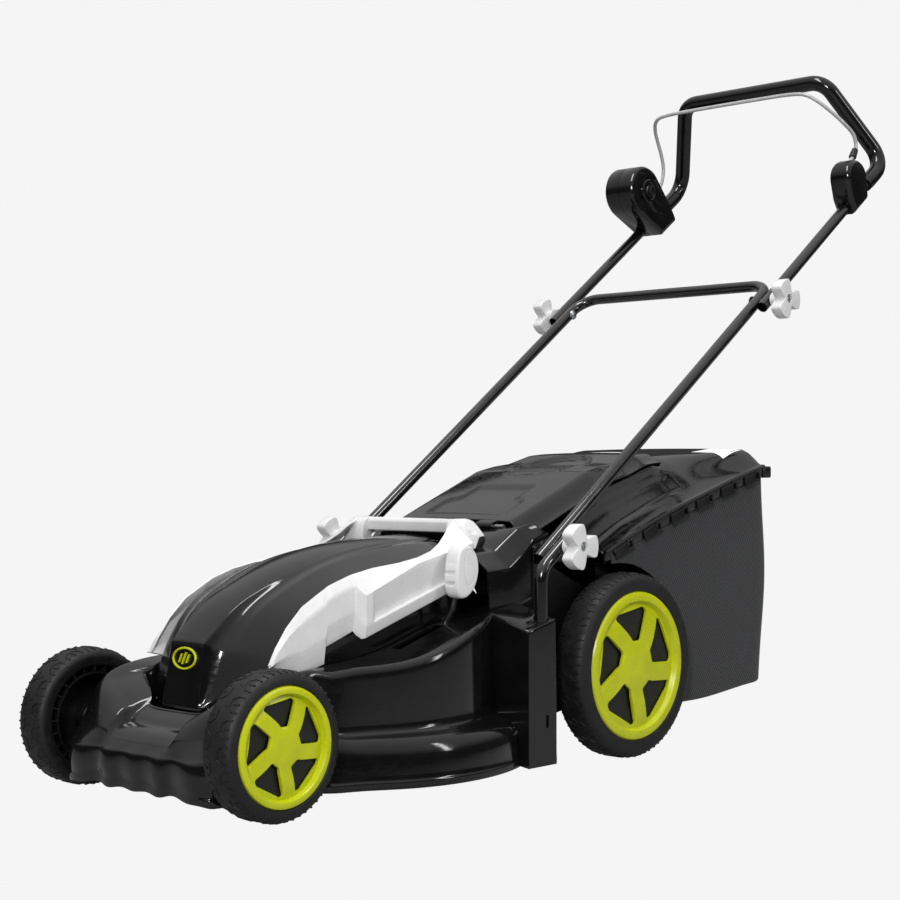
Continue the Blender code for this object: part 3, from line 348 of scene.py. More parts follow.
GLOSS_BLACK = moulded("polished_black_abs", "#0a0a0a", "#101010", 0.07, 0.16)
SATIN_BLACK = moulded("satin_black_abs", "#0c0c0c", "#141414", 0.28, 0.38, speck_mm=0.02)
RIM_BLACK = moulded("textured_black_polypropylene", "#050505", "#0b0b0b", 0.42, 0.55, speck_mm=0.05)
WHITE = moulded("satin_white_abs", "#dadada", "#e2e2e2", 0.26, 0.36, speck_mm=0.015)
LIME = moulded("satin_lime_abs", "#b8c100", "#c3cb0c", 0.26, 0.36, speck_mm=0.015)
LABEL = moulded("printed_paper_label", "#f4f4f4", "#ffffff", 0.45, 0.55, wave_mm=0.1, wave_size=20)

# %% [markdown]
# **Tyres** are a softer moulding with an eroded, matt skin. The skin's grain is about a millimetre, and
# the tread carries a trace of grey dust.

# %% Tyre
def tyre_finish():
    finish, tree, shader = new_finish("eroded_black_tpe_tyre", 0.5, IOR=1.48)
    dust = grain(tree, 14, detail=6)
    tree.links.new(two_tone(tree, dust.outputs["Fac"], "#040404", "#0b0b0b"), shader.inputs["Base Color"])
    tree.links.new(spread(tree, dust.outputs["Fac"], 0.5, 0.7), shader.inputs["Roughness"])
    skin = grain(tree, 0.9, detail=3)
    bump(tree, shader, skin.outputs["Fac"], 0.08)
    return finish


TYRE = tyre_finish()

# %% [markdown]
# **Painted tube.** The handle is steel tube in a gloss black powder coat. The powder flows out into a
# faint orange peel a few millimetres across, and a thin clear top skin gives the long sharp highlights.

# %% Metals
def powder_coat(name, dark, light, gloss, coat):
    finish, tree, shader = new_finish(name, gloss, IOR=1.5, Coat_Weight=coat, Coat_Roughness=0.05)
    cloudy = grain(tree, 25)
    tree.links.new(two_tone(tree, cloudy.outputs["Fac"], dark, light), shader.inputs["Base Color"])
    tree.links.new(spread(tree, cloudy.outputs["Fac"], gloss, gloss + 0.08), shader.inputs["Roughness"])
    peel = grain(tree, 3.0, detail=1)
    bump(tree, shader, peel.outputs["Fac"], 0.015)
    return finish


def plated_steel(name, dark, light, roughness, drawn=(1, 1, 12)):
    """Zinc plate over drawn or rolled steel: bright, with fine streaks along one direction."""
    finish, tree, shader = new_finish(name, roughness, metallic=1.0)
    streaks = grain(tree, 4, detail=6, stretch=drawn)
    tree.links.new(two_tone(tree, streaks.outputs["Fac"], dark, light), shader.inputs["Base Color"])
    tree.links.new(spread(tree, streaks.outputs["Fac"], roughness - 0.06, roughness + 0.1),
                   shader.inputs["Roughness"])
    bump(tree, shader, streaks.outputs["Fac"], 0.02)
    return finish


TUBE_PAINT = powder_coat("gloss_black_powder_coat", "#070707", "#0e0e0e", 0.12, 0.6)
BAIL_PAINT = powder_coat("light_grey_powder_coat", "#a6a6a6", "#b4b4b4", 0.25, 0.3)
ZINC = plated_steel("zinc_plated_steel", "#8f9194", "#b9bcc0", 0.3)
BLADE_STEEL = plated_steel("painted_spring_steel_blade", "#2a2b2c", "#3a3b3d", 0.38, drawn=(12, 1, 1))

# %% [markdown]
# **Bag cloth** is a heavy polyester twill. Its threads cross at right angles and each row of crossings
# steps one thread sideways, which draws the fine diagonal ribs. The real ribs are about 2 mm apart,
# too fine to stay clear from a few steps away, so they are drawn 4.6 mm apart. The pattern reads the
# cloth's own UV map, laid out in metres, so the ribs turn the corners with the cloth.

# %% Bag cloth
RIB_PITCH = 0.0046
RIB_SLANT = 58


def cloth_finish():
    finish, tree, shader = new_finish("charcoal_polyester_twill", 0.75, IOR=1.45, Sheen_Weight=0.25,
                                      Sheen_Roughness=0.45)
    place = add_node(tree, "ShaderNodeTexCoord")

    def bands(slant, pitch):
        turned = add_node(tree, "ShaderNodeMapping", {"Vector": place.outputs["UV"]},
                          in_Rotation=(0, 0, math.radians(slant)))
        return add_node(tree, "ShaderNodeTexWave", {"Vector": turned.outputs["Vector"]}, wave_type="BANDS",
                        wave_profile="SIN", bands_direction="X", in_Scale=math.pi / 10 / pitch,
                        in_Distortion=0.25, in_Detail=2.0, in_Detail_Scale=3.0).outputs["Fac"]

    ribs = bands(90 - RIB_SLANT, RIB_PITCH)
    threads = bands(-RIB_SLANT, RIB_PITCH * 0.42)
    woven = add_node(tree, "ShaderNodeMath", operation="MULTIPLY_ADD", in_Value=0.5)
    tree.links.new(threads, woven.inputs[0])
    woven.inputs[1].default_value = 0.35
    tree.links.new(ribs, woven.inputs[2])
    fuzz = grain(tree, 30, detail=5, coordinates="UV")
    lit = add_node(tree, "ShaderNodeMath", operation="MULTIPLY")
    tree.links.new(woven.outputs[0], lit.inputs[0])
    tree.links.new(spread(tree, fuzz.outputs["Fac"], 0.8, 1.15), lit.inputs[1])
    tree.links.new(two_tone(tree, lit.outputs[0], "#050606", "#1f2125", 0.15, 1.15),
                   shader.inputs["Base Color"])
    bump(tree, shader, woven.outputs[0], 0.5, strength=0.8)
    return finish


CLOTH = cloth_finish()
print("finishes", len(bpy.data.materials))

# %% [markdown]
# ## Repeating things with Geometry Nodes
# Tread blocks and the ribs in a rim repeat round a wheel. One small node tree does it: it lays out
# points, copies a shape onto them, makes the copies real and gives them their material. Copying by hand
# in a loop would work too, but a tree can be retuned.

# %% The tree
def new_tree(name, *inputs):
    """A geometry tree with named inputs, its group ends and a lookup of the inputs' identifiers."""
    tree = bpy.data.node_groups.new(name, "GeometryNodeTree")
    tree.interface.new_socket("Geometry", in_out="OUTPUT", socket_type="NodeSocketGeometry")
    sockets = {}
    for title, kind in inputs:
        socket = tree.interface.new_socket(title, in_out="INPUT", socket_type="NodeSocket" + kind)
        sockets[title] = socket.identifier
    return tree, add_node(tree, "NodeGroupInput"), add_node(tree, "NodeGroupOutput"), sockets


def copies_on_points(tree, given, points, turn):
    """Instance the given shape on the points, make the copies real and give them the material."""
    shape = add_node(tree, "GeometryNodeObjectInfo", {"Object": given.outputs["Shape"]})
    spread_out = add_node(tree, "GeometryNodeInstanceOnPoints",
                          {"Points": points, "Instance": shape.outputs["Geometry"], "Rotation": turn})
    real = add_node(tree, "GeometryNodeRealizeInstances", {"Geometry": spread_out.outputs["Instances"]})
    painted = add_node(tree, "GeometryNodeSetMaterial", {"Geometry": real.outputs["Geometry"],
                                                         "Material": given.outputs["Finish"]})
    return painted.outputs["Geometry"]


def ring_tree():
    """Count copies of a shape, turned evenly about the X axis."""
    tree, given, result, sockets = new_tree("copies_round_x", ("Shape", "Object"), ("Count", "Int"),
                                            ("Start", "Float"), ("Finish", "Material"))
    points = add_node(tree, "GeometryNodePoints", {"Count": given.outputs["Count"]})
    index = add_node(tree, "GeometryNodeInputIndex")
    step = add_node(tree, "ShaderNodeMath", {"Value": index.outputs["Index"]}, operation="MULTIPLY")
    step.inputs[1].default_value = 2 * math.pi
    share = add_node(tree, "ShaderNodeMath", operation="DIVIDE")
    tree.links.new(step.outputs[0], share.inputs[0])
    tree.links.new(given.outputs["Count"], share.inputs[1])
    begun = add_node(tree, "ShaderNodeMath", operation="ADD")
    tree.links.new(share.outputs[0], begun.inputs[0])
    tree.links.new(given.outputs["Start"], begun.inputs[1])
    turn = add_node(tree, "ShaderNodeCombineXYZ", {"X": begun.outputs[0]})
    made = copies_on_points(tree, given, points.outputs["Points"], turn.outputs["Vector"])
    tree.links.new(made, result.inputs["Geometry"])
    return tree, sockets


RING = ring_tree()


def repeated(name, tree_and_sockets, shape, finish, **inputs):
    """Run a tree and keep its result as a plain mesh; the pattern shape is thrown away."""
    tree, sockets = tree_and_sockets
    pattern = loose(name + "_pattern", shape)
    obj = loose(name, bmesh.new())
    modifier = add_modifier(obj, "NODES", node_group=tree)
    for title, value in {"Shape": pattern, "Finish": finish, **inputs}.items():
        modifier[sockets[title]] = value
    freeze(obj)
    bpy.data.objects.remove(pattern)
    return obj


def weld_together(name, *objects):
    """Several loose objects as one."""
    bm = bmesh.new()
    for obj in objects:
        bm.from_mesh(obj.data)
        bpy.data.objects.remove(obj)
    return loose(name, bm)


# %% [markdown]
# ## Wheels
# Each wheel is a two-shot moulding with a snapped-in hub cap. The tyre is turned from its section, and
# its tread is a ring of low six-sided ridges at each shoulder with short sipes between them. The back of
# the rim has stiffening ribs between two hoops. The hub cap is one domed moulding with five windows.

# %% Wheel sizes
TYRE_SHARE = 0.80             # the tyre's inner radius, as a share of its outer one
WINDOWS = 5


def tyre_section(radius, inner, outer):
    """(radius, x) points round the tyre, from its inner edge over the tread."""
    hole = radius * TYRE_SHARE + 0.0004
    return [(hole, inner + .0020), (radius - .012, inner + .0006), (radius - .009, inner + .0002),
            (radius - .0045, inner + .0020), (radius - .0018, inner + .0065), (radius - .0010, inner + .014),
            (radius - .0006, (inner + outer) / 2), (radius - .0010, outer - .012),
            (radius - .0022, outer - .006),
            (radius - .0050, outer - .0020), (radius - .0095, outer - .0002), (radius - .0125, outer),
            (hole + .0016, outer), (hole, outer - .0016)]


def ridge(points, wide, high):
    """A low bar with a trapezoid section along points on the cylinder; each point is (x, angle, radius)."""
    bm = bmesh.new()
    rows = []
    for i, (x, angle, radius) in enumerate(points):
        near, far = points[max(i - 1, 0)], points[min(i + 1, len(points) - 1)]
        across = Vector((radius * (far[1] - near[1]), -(far[0] - near[0]))).normalized()
        row = []
        for side, lift in ((-.5, -.0006), (-.32, high), (.32, high), (.5, -.0006)):
            at_x = x + across.x * wide * side
            at_angle = angle + across.y * wide * side / radius
            row.append(bm.verts.new((at_x, (radius + lift) * math.cos(at_angle),
                                     (radius + lift) * math.sin(at_angle))))
        rows.append(row)
    bridge(bm, rows)
    bm.faces.new(rows[0])
    bm.faces.new(rows[-1])
    return bm


def tread(name, radius, inner, outer, count, finish):
    """Six-sided ridges at both shoulders, half a step apart, and a sipe in the middle of each."""
    step = 2 * math.pi / count
    rings = []
    for edge, sign, start in ((outer, -1, 0.0), (inner, 1, step / 2)):
        tip, root, skin = edge + sign * .0175, edge + sign * .0035, radius - .0012
        shape = [(root, -.34 * step, skin - .0022), (edge + sign * .0105, -.34 * step, skin),
                 (tip, -.17 * step, skin + .0002), (tip, .17 * step, skin + .0002),
                 (edge + sign * .0105, .34 * step, skin), (root, .34 * step, skin - .0022)]
        sipe = [(edge + sign * .0045, 0, skin - .0012), (edge + sign * .0125, .03 * step, skin)]
        rings.append(repeated(name, RING, merged(ridge(shape, .0024, .0011), ridge(sipe, .0020, .0011)),
                              finish, Count=count, Start=start))
    middle_bar = [((inner + outer) / 2 - .0035, -.22 * step, radius - .0007),
                  ((inner + outer) / 2 + .0035, -.08 * step, radius - .0007)]
    rings.append(repeated(name, RING, ridge(middle_bar, .0018, .0008), finish, Count=count, Start=step / 4))
    return weld_together(name, *rings)


def rim_back(radius, inner, finish, name):
    """Hoops and ribs inside the rim, seen from between the wheel and the deck."""
    reach = radius * TYRE_SHARE
    rib = box((inner + .0045, reach * .80, -.0009), (inner + .016, reach * .985, .0009))
    ribs = repeated(name + "_ribs", RING, rib, finish, Count=24, Start=0.0)
    hoop = loose(name + "_hoop", lathe([(reach * .785, inner + .004), (reach * .815, inner + .004),
                                        (reach * .815, inner + .017), (reach * .785, inner + .017)],
                                       (0, 0, 0)))
    return weld_together(name, ribs, hoop)


def window(radius, step):
    """A rounded four-sided opening between two broad spokes, wider towards the rim and swept a little."""
    low, high, spoke = radius * .34, radius * .80, radius * .115
    corners = []
    for r, side in ((low, -1), (high, -1), (high, 1), (low, 1)):
        sweep_back = .16 * (r - low) / (high - low)
        half = step / 2 - math.asin(spoke / r)
        corners.append((r, side * max(half, .05) + sweep_back))
    outline = []
    for i in range(4):
        (r0, a0), (r1, a1), (r2, a2) = corners[i - 1], corners[i], corners[(i + 1) % 4]
        for k in range(7):
            t = k / 6
            lead, trail = .16 * (1 - t) ** 2, .16 * t ** 2
            r = r1 + (r0 - r1) * lead + (r2 - r1) * trail
            a = a1 + (a0 - a1) * lead + (a2 - a1) * trail
            outline.append((r * math.cos(a), r * math.sin(a)))
    return outline


def hub_cap(name, radius, outer):
    """Raised outer ring, a dish and a gently domed face with windows."""
    edge = radius * TYRE_SHARE
    section = [(0, outer - .0016), (edge * .10, outer - .0014), (edge * .28, outer - .0012),
               (edge * .34, outer - .0024), (edge * .50, outer - .0016), (edge * .64, outer - .0022),
               (edge * .78, outer - .0040), (edge * .845, outer - .0060), (edge * .862, outer - .0010),
               (edge * .878, outer + .0012), (edge * .955, outer + .0012), (edge * .985, outer + .0002),
               (edge, outer - .0020), (edge, outer - .0070), (edge * .80, outer - .0078), (0, outer - .0052)]
    cap = loose(name, lathe(section, (0, 0, 0), segments=120))
    step = 2 * math.pi / WINDOWS
    for i in range(WINDOWS):
        cutter = plate(window(edge, step), "X", outer - .02, outer + .01)
        bmesh.ops.rotate(cutter, matrix=Matrix.Rotation(i * step + math.pi / 2, 3, "X"), verts=cutter.verts)
        cut_by(cap, cutter)
    bevel_by(cap, .0007, 2, 50)
    return cap


# %% Make the four wheels
def to_wheel(obj, sign, center_y, center_z):
    """From the axle's own frame on the left to the wheel's place."""
    if sign < 0:
        bm = bmesh.new()
        bm.from_mesh(obj.data)
        flipped(bm)
        bm.to_mesh(obj.data)
        bm.free()
    obj.data.transform(Matrix.Translation((0, center_y, center_z)))
    return obj


def wheel(name, sign, radius):
    low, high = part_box(name + "_tyre")
    inner, outer = (low.x, high.x) if sign > 0 else (-high.x, -low.x)
    center = ((low.y + high.y) / 2 - AXLE_Y, (low.z + high.z) / 2)
    reach = radius * TYRE_SHARE
    tyre = loose(name + "_soft_tyre", lathe(tyre_section(radius, inner, outer), (0, 0, 0), 120))
    settle(to_wheel(tyre, sign, *center), TYRE, name, "tyre", name + "_tyre", sharp=40)
    blocks = tread(name + "_tread", radius, inner, outer, 18 if radius < .1 else 24, TYRE)
    settle(to_wheel(blocks, sign, *center), TYRE, name, "tyre", sharp=25)
    dish = [(.0050, inner + .006), (.0135, inner + .006), (.0150, inner + .008), (.0150, outer - .017),
            (reach * .60, outer - .0165), (reach - .007, outer - .0150), (reach - .0045, inner + .003),
            (reach - .0030, inner + .0022), (reach, inner + .0022), (reach, outer - .0090),
            (.0050, outer - .0090)]
    rim = weld_together(name + "_dished_rim", loose("dish", lathe(dish, (0, 0, 0), 96)),
                        rim_back(radius, inner, RIM_BLACK, name))
    settle(to_wheel(rim, sign, *center), RIM_BLACK, name, "black_matt", name + "_rim", sharp=30)
    cap = freeze(hub_cap(name + "_spoked_cap", radius, outer))
    settle(to_wheel(cap, sign, *center), LIME, name, "lime", name + "_hub_cap", sharp=28)


for end, size in (("front", FRONT_R), ("rear", REAR_R)):
    for side, sign in (("left", 1), ("right", -1)):
        wheel(f"{end}_wheel_{side}", sign, size)
print("wheels made")

# %% [markdown]
# ## Handle
# The handle is bent tube: two short bends in the deck's towers, a U that folds and a second U with the
# grip. The bends are true arcs. The middle U sits inside the outer tubes at both knobs, and its ends
# show the tube's wall. Everything is placed from the knobs' joints.

# %% Handle geometry
LOWER_BOLT = Vector((PIVOT["handle_fold"].y - AXLE_Y, PIVOT["handle_fold"].z))
UPPER_BOLT = Vector((PIVOT["upper_handle_fold"].y - AXLE_Y, PIVOT["upper_handle_fold"].z))
SLOPE = math.atan2(UPPER_BOLT.y - LOWER_BOLT.y, UPPER_BOLT.x - LOWER_BOLT.x)
TUBE_R = 0.0085
TUBE_WALL = 0.0012
OUTER_TUBE_X = (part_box("handle_bracket_left")[0].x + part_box("handle_bracket_left")[1].x) / 2
INNER_TUBE_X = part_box("middle_handle")[1].x - TUBE_R
UPPER_SPAN = 0.428            # upper bolt to the bend at the grip
GRIP_TOP = (0.1375, 1.226, 1.026)
GRIP_R = 0.0125


def on_slope(start, distance):
    """(y, z) on the handle's slope, distance from start."""
    return (start.x + distance * math.cos(SLOPE), start.y + distance * math.sin(SLOPE))


# %% Tubes
def handle_tubes():
    foot_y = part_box("handle_bracket_left")[0].y + TUBE_R - AXLE_Y
    corner = (foot_y, LOWER_BOLT.y - (LOWER_BOLT.x - foot_y) * math.tan(SLOPE))
    for side, sign in (("left", 1), ("right", -1)):
        x = sign * OUTER_TUBE_X
        path = round_corners([(x, foot_y, .105), (x, *corner), (x, *on_slope(LOWER_BOLT, .036))], .030, 10)
        name = "handle_bracket_" + side
        settle(loose(name + "_tube", sweep(path, TUBE_R, TUBE_WALL)), TUBE_PAINT, "deck", "painted_tube",
               name)
    corner, foot = on_slope(UPPER_BOLT, .046), on_slope(LOWER_BOLT, -.028)
    x = INNER_TUBE_X
    path = round_corners([(x, *foot), (x, *corner), (-x, *corner), (-x, *foot)], .034, 10)
    settle(loose("middle_u_tube", sweep(path, TUBE_R, TUBE_WALL)), TUBE_PAINT, "middle_handle",
           "painted_tube", "middle_handle")
    x = OUTER_TUBE_X
    bend = on_slope(UPPER_BOLT, UPPER_SPAN)
    half = [(x, *on_slope(UPPER_BOLT, -.020)), (x, *bend), GRIP_TOP]
    path = round_corners(half + [(-p[0], p[1], p[2]) for p in half[::-1]], .036, 12)
    settle(loose("upper_u_tube", sweep(path, TUBE_R, TUBE_WALL)), TUBE_PAINT, "upper_handle", "painted_tube",
           "upper_handle")
    return path


UPPER_PATH = handle_tubes()

# %% [markdown]
# The grip is a soft sleeve pushed over the upper tube, with a rolled edge at each end. It gets the same
# path as the tube, less the straight legs, and its radius drops by a millimetre at the ends.

# %% Grip sleeve
def grip():
    foot = Vector((OUTER_TUBE_X, *on_slope(UPPER_BOLT, UPPER_SPAN - .075)))
    inside = [foot] + UPPER_PATH[1:-1] + [Vector((-foot.x, foot.y, foot.z))]

    def size(share):
        edge = min(share, 1 - share)
        return GRIP_R - (.0009 if edge < .012 else 0)

    dense = []
    for start, end in zip(inside, inside[1:]):
        count = max(1, round((end - start).length / .006))
        dense += [start.lerp(end, k / count) for k in range(count)]
    dense.append(inside[-1])
    sleeve = loose("foam_grip", sweep(dense, size, .0030, sides=32))
    settle(sleeve, GLOSS_BLACK, "upper_handle", "black_gloss", "grip_sleeve")


grip()

# %% [markdown]
# ## Knobs and bolts
# Four white wing nuts hold the tubes. Each has three lobes with hollow flanks, rounded edges and a
# recess where the bolt's end shows.

# %% Knobs
def lobed(radius, waist=.40, lobe=.42, steps_each=28):
    """Three broad lobes with blunt ends and hollow flanks between them."""
    outline = []
    for k in range(3 * steps_each):
        turn = 2 * math.pi * k / (3 * steps_each)
        away = 1 - abs((3 * turn / math.pi) % 2 - 1)
        blunt = 1 if away < lobe else math.exp(-((away - lobe) / .30) ** 2)
        size = radius * (waist + (1 - waist) * blunt)
        outline.append((size * math.cos(turn), size * math.sin(turn)))
    return outline


def wing_knob(name, sign, at, body):
    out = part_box(name)[1].x if sign > 0 else -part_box(name)[0].x
    neck = OUTER_TUBE_X + TUBE_R + .0015
    head = loose(name + "_wing", plate(lobed(.0296), "X", out - .0175, out))
    bevel_by(head, .0028, 4, 40)
    freeze(head)
    collar = lathe([(0, neck), (.0112, neck), (.0104, out - .016), (0, out - .016)], (0, 0, 0), 40)
    cut_by(head, collar, operation="UNION")
    cut_by(head, lathe([(0, out - .0055), (.0062, out - .0055), (.0070, out + .001), (0, out + .001)],
                       (0, 0, 0), 40),
           lathe([(0, neck - .001), (.0034, neck - .001), (.0034, out - .003), (0, out - .003)], (0, 0, 0),
                 24))
    settle(to_wheel(head, sign, *at), WHITE, name, "white", name, sharp=38)
    bolt = plate(ring_points(.0046, 6), "X", out - .0052, out - .0015)
    bolt = loose(name + "_bolt_end", merged(bolt, lathe([(0, out - .003), (.0026, out - .003),
                                                         (.0024, out - .0005),
                                                        (0, out - .0003)], (0, 0, 0), 24)))
    bevel_by(bolt, .0003, 2)
    settle(to_wheel(bolt, sign, *at), ZINC, body, "steel", sharp=30)
    bolt_head = INNER_TUBE_X - TUBE_R
    dome = [(0, bolt_head - .0046), (.0042, bolt_head - .0042), (.0068, bolt_head - .0026),
            (.0078, bolt_head - .0004), (0, bolt_head - .0004)]
    settle(to_wheel(loose(name + "_bolt_dome", lathe(dome, (0, 0, 0), 40)), sign, *at), ZINC, body, "steel",
           sharp=30)


for level, at, body in (("lower", LOWER_BOLT, "deck"), ("upper", UPPER_BOLT, "middle_handle")):
    for side, sign in (("left", 1), ("right", -1)):
        wing_knob(f"{level}_knob_{side}", sign, at, body)
print("knobs made")

# %% [markdown]
# ## Moulded shells
# The big shells are drawn as a cage: rows of a few points on one half, mirrored, with a crease value on
# the edges that stay sharp. Subdivision rounds the rest, and Solidify gives the wall. Sculpting or a
# scan would also give such a shape, but a cage keeps every edge where its size says.

# %% A cage with creases
def cage(name, rows, row_crease, column_crease, wall=.003, levels=2, ring=False):
    """Half rows from the middle plane outwards; with ring they are half rings, middle to middle.
    The two crease functions take (row, column) and give 0 to 1 for the edge along the row or across it."""
    bm = bmesh.new()
    crease = bm.edges.layers.float.new("crease_edge")
    last = len(rows[0]) - 1
    grid = []
    for half in rows:
        right = half[1:-1] if ring else half[1:]
        grid.append([bm.verts.new(p) for p in half])
        grid[-1] += [bm.verts.new((-p[0], p[1], p[2])) for p in right[::-1]]
    count = len(grid[0])

    def column_of(i):
        return i if i <= last else count - i

    for near, far in zip(grid, grid[1:]):
        for i in range(count):
            j = (i + 1) % count
            if not ring and i == last:
                continue
            bm.faces.new((near[i], near[j], far[j], far[i]))
    lookup = {vert: (r, column_of(i)) for r, line in enumerate(grid) for i, vert in enumerate(line)}
    for edge in bm.edges:
        (r0, c0), (r1, c1) = lookup[edge.verts[0]], lookup[edge.verts[1]]
        if r0 == r1:
            edge[crease] = row_crease(r0, c0)
            if abs(c0 - c1) < 2:
                edge[crease] = max(row_crease(r0, c0), row_crease(r0, c1))
        else:
            edge[crease] = column_crease(min(r0, r1), c0)
    bmesh.ops.recalc_face_normals(bm, faces=bm.faces)
    mesh = bpy.data.meshes.new(name)
    bm.to_mesh(mesh)
    bm.free()
    obj = bpy.data.objects.new(name, mesh)
    bpy.context.scene.collection.objects.link(obj)
    smooth_by(obj, levels)
    if wall:
        add_modifier(obj, "SOLIDIFY", thickness=wall, offset=-1, use_even_offset=False)
    freeze(obj)
    return obj


def mix(a, b, flat, rise=None):
    """A point between a and b, its share in the plan and its share in height given apart."""
    rise = flat if rise is None else rise
    return (a[0] + (b[0] - a[0]) * flat, a[1] + (b[1] - a[1]) * flat, a[2] + (b[2] - a[2]) * rise)


def around(center, radius, degrees):
    turn = math.radians(degrees)
    return (center[0] + radius * math.cos(turn), center[1] + radius * math.sin(turn))


# %% [markdown]
# ## Deck
# The deck is one black moulding. Its front is a bumper with upright flutes and a sunken panel below the
# nose. Fenders stand beside the front wheels. Behind them a round drum covers the blade, with a rolled
# shoulder and a beaded skirt below it and a rim along its crest. A square tower on each side holds the
# handle's foot. Each station below is one upright section, listed from the middle of the nose round to
# the middle of the back: skirt edge, skirt top, foot of the wall, crest, rim and shelf.

# %% Deck stations
CUTTER = (0.0, 0.270)
FENDER = 0.138
TOWER = 0.215
TOWER_FRONT, TOWER_BACK = 0.3915, 0.446
SKIRT = 0.016
WELL_FLOOR = 0.100


def nose_stations():
    """Bumper from the middle to the corner: flutes at the dented stations, a sunken panel up to x = 58 mm."""
    made = []
    for x, dent, top, brow, shelf in (
            (0, 0, (-.0500, .0755), (-.024, .0890), (.003, .1070)),
            (.023, 1, (-.0500, .0755), (-.024, .0890), (.003, .1070)),
            (.044, 0, (-.0500, .0757), (-.024, .0892), (.003, .1075)),
            (.057, .4, (-.0500, .0765), (-.024, .0905), (.006, .1095)),
            (.0635, .8, (-.0490, .0850), (-.020, .1060), (.013, .1175)),
            (.075, 1, (-.0480, .0860), (-.018, .1130), (.020, .1240)),
            (.098, 0, (-.0450, .0880), (-.014, .1260), (.030, .1350)),
            (.118, .2, (-.0410, .0910), (-.009, .1340), (.040, .1420))):
        skirt = (x, -.0600 + .004 * dent, .0180 + .006 * dent)
        band = (x, -.0655 + .0055 * dent, .046)
        foot = (x, -.0600 + .0025 * dent, .0655)
        made.append([skirt, band, foot, (x, *top), (x, *brow), (x * .93, *shelf)])
    return made


def fender_stations():
    return [
        [(.133, -.053, SKIRT), (.1335, -.055, .047), (.1325, -.047, .072), (.129, -.033, .098),
         (.124, -.002, .139), (.106, .050, .1460)],
        [(FENDER, -.035, SKIRT), (FENDER, -.033, .055), (FENDER, -.026, .085), (.1365, -.014, .122),
         (.130, .004, .1440), (.109, .058, .1490)],
        [(FENDER, .015, SKIRT), (FENDER, .015, .065), (FENDER, .017, .100), (.1370, .022, .142),
         (.1310, .026, .1510), (.1105, .066, .1510)],
        [(FENDER, .056, SKIRT), (FENDER, .056, .070), (FENDER, .058, .105), (.1373, .061, .150),
         (.1320, .063, .1560), (.1120, .082, .1530)],
        [(FENDER, .084, SKIRT), (FENDER, .085, .070), (FENDER, .089, .095), (.1373, .094, .1510),
         (.1325, .096, .1575), (.1120, .100, .1545)],
        [(.168, .103, SKIRT), (.166, .107, .058), (.151, .118, .077), (.1460, .121, .1460),
         (.1395, .124, .1530), (.1120, .130, .1565)]]


def drum_stations():
    made = []
    for turn, skirt, crest, shelf in ((-38, .2200, .149, .158), (-24, .2250, .151, .161),
                                      (-10, .2275, .158, .168),
                                      (4, .2290, .173, .182), (17, .2310, .187, .196),
                                      (27, .2335, .195, .203)):
        ahead = 4 if turn == 27 else 0
        edge = around(CUTTER, skirt, turn)
        lifted = around(CUTTER, .1985, turn + ahead)
        rim = around(CUTTER, .1900, turn + ahead)
        made.append([(*edge, SKIRT), (*around(CUTTER, skirt - .002, turn), .056), (*lifted, .077),
                     (*around(CUTTER, .1960, turn + ahead), crest), (*rim, crest + .008),
                     (min(.112 + max(turn - 17, 0) * .0022, .136), rim[1] - .002, shelf)])
    return made


def tower_stations():
    front, back, out = TOWER_FRONT, TOWER_BACK, TOWER
    return [
        [(.2012, front - .0005, SKIRT), (.1992, front - .0005, .056), (.1580, front - .0005, .077),
         (.1545, front - .0005, .2010), (.1500, front + .001, .2060), (.1440, front + .006, .2085)],
        [(out, front, .0140), (out, front, .056), (out, front, .077), (out - .001, front + .001, .1850),
         (out - .004, front + .004, .1885), (.152, .424, .2125)],
        [(out, back, .0140), (out, back, .056), (out, back, .077), (out - .001, back - .001, .1980),
         (out - .004, back - .004, .2005), (.152, .434, .2140)],
        [(.152, .4490, .0140), (.152, .4490, .056), (.152, .4490, .077), (.152, .4485, .2135),
         (.151, .447, .2150), (.147, .440, .2165)],
        [(.150, .4780, .055), (.150, .4780, .066), (.150, .4780, .077), (.149, .4770, .2210),
         (.147, .474, .2225), (.139, .464, .2210)],
        [(0, .4780, .055), (0, .4780, .066), (0, .4780, .077), (0, .4770, .2210), (0, .474, .2225),
         (0, .464, .2210)]]


STATIONS = nose_stations() + fender_stations() + drum_stations() + tower_stations()
NOSE_END, DRUM_START = 8, 13
TOWER_START = len(STATIONS) - 6

# %% [markdown]
# A station's six points become a section of seventeen: the bead along the skirt, the roll of the
# shoulder and the rim's rounded edge are small steps from them, and the section ends down in the well
# where the motor stands, at the hole for its shaft.

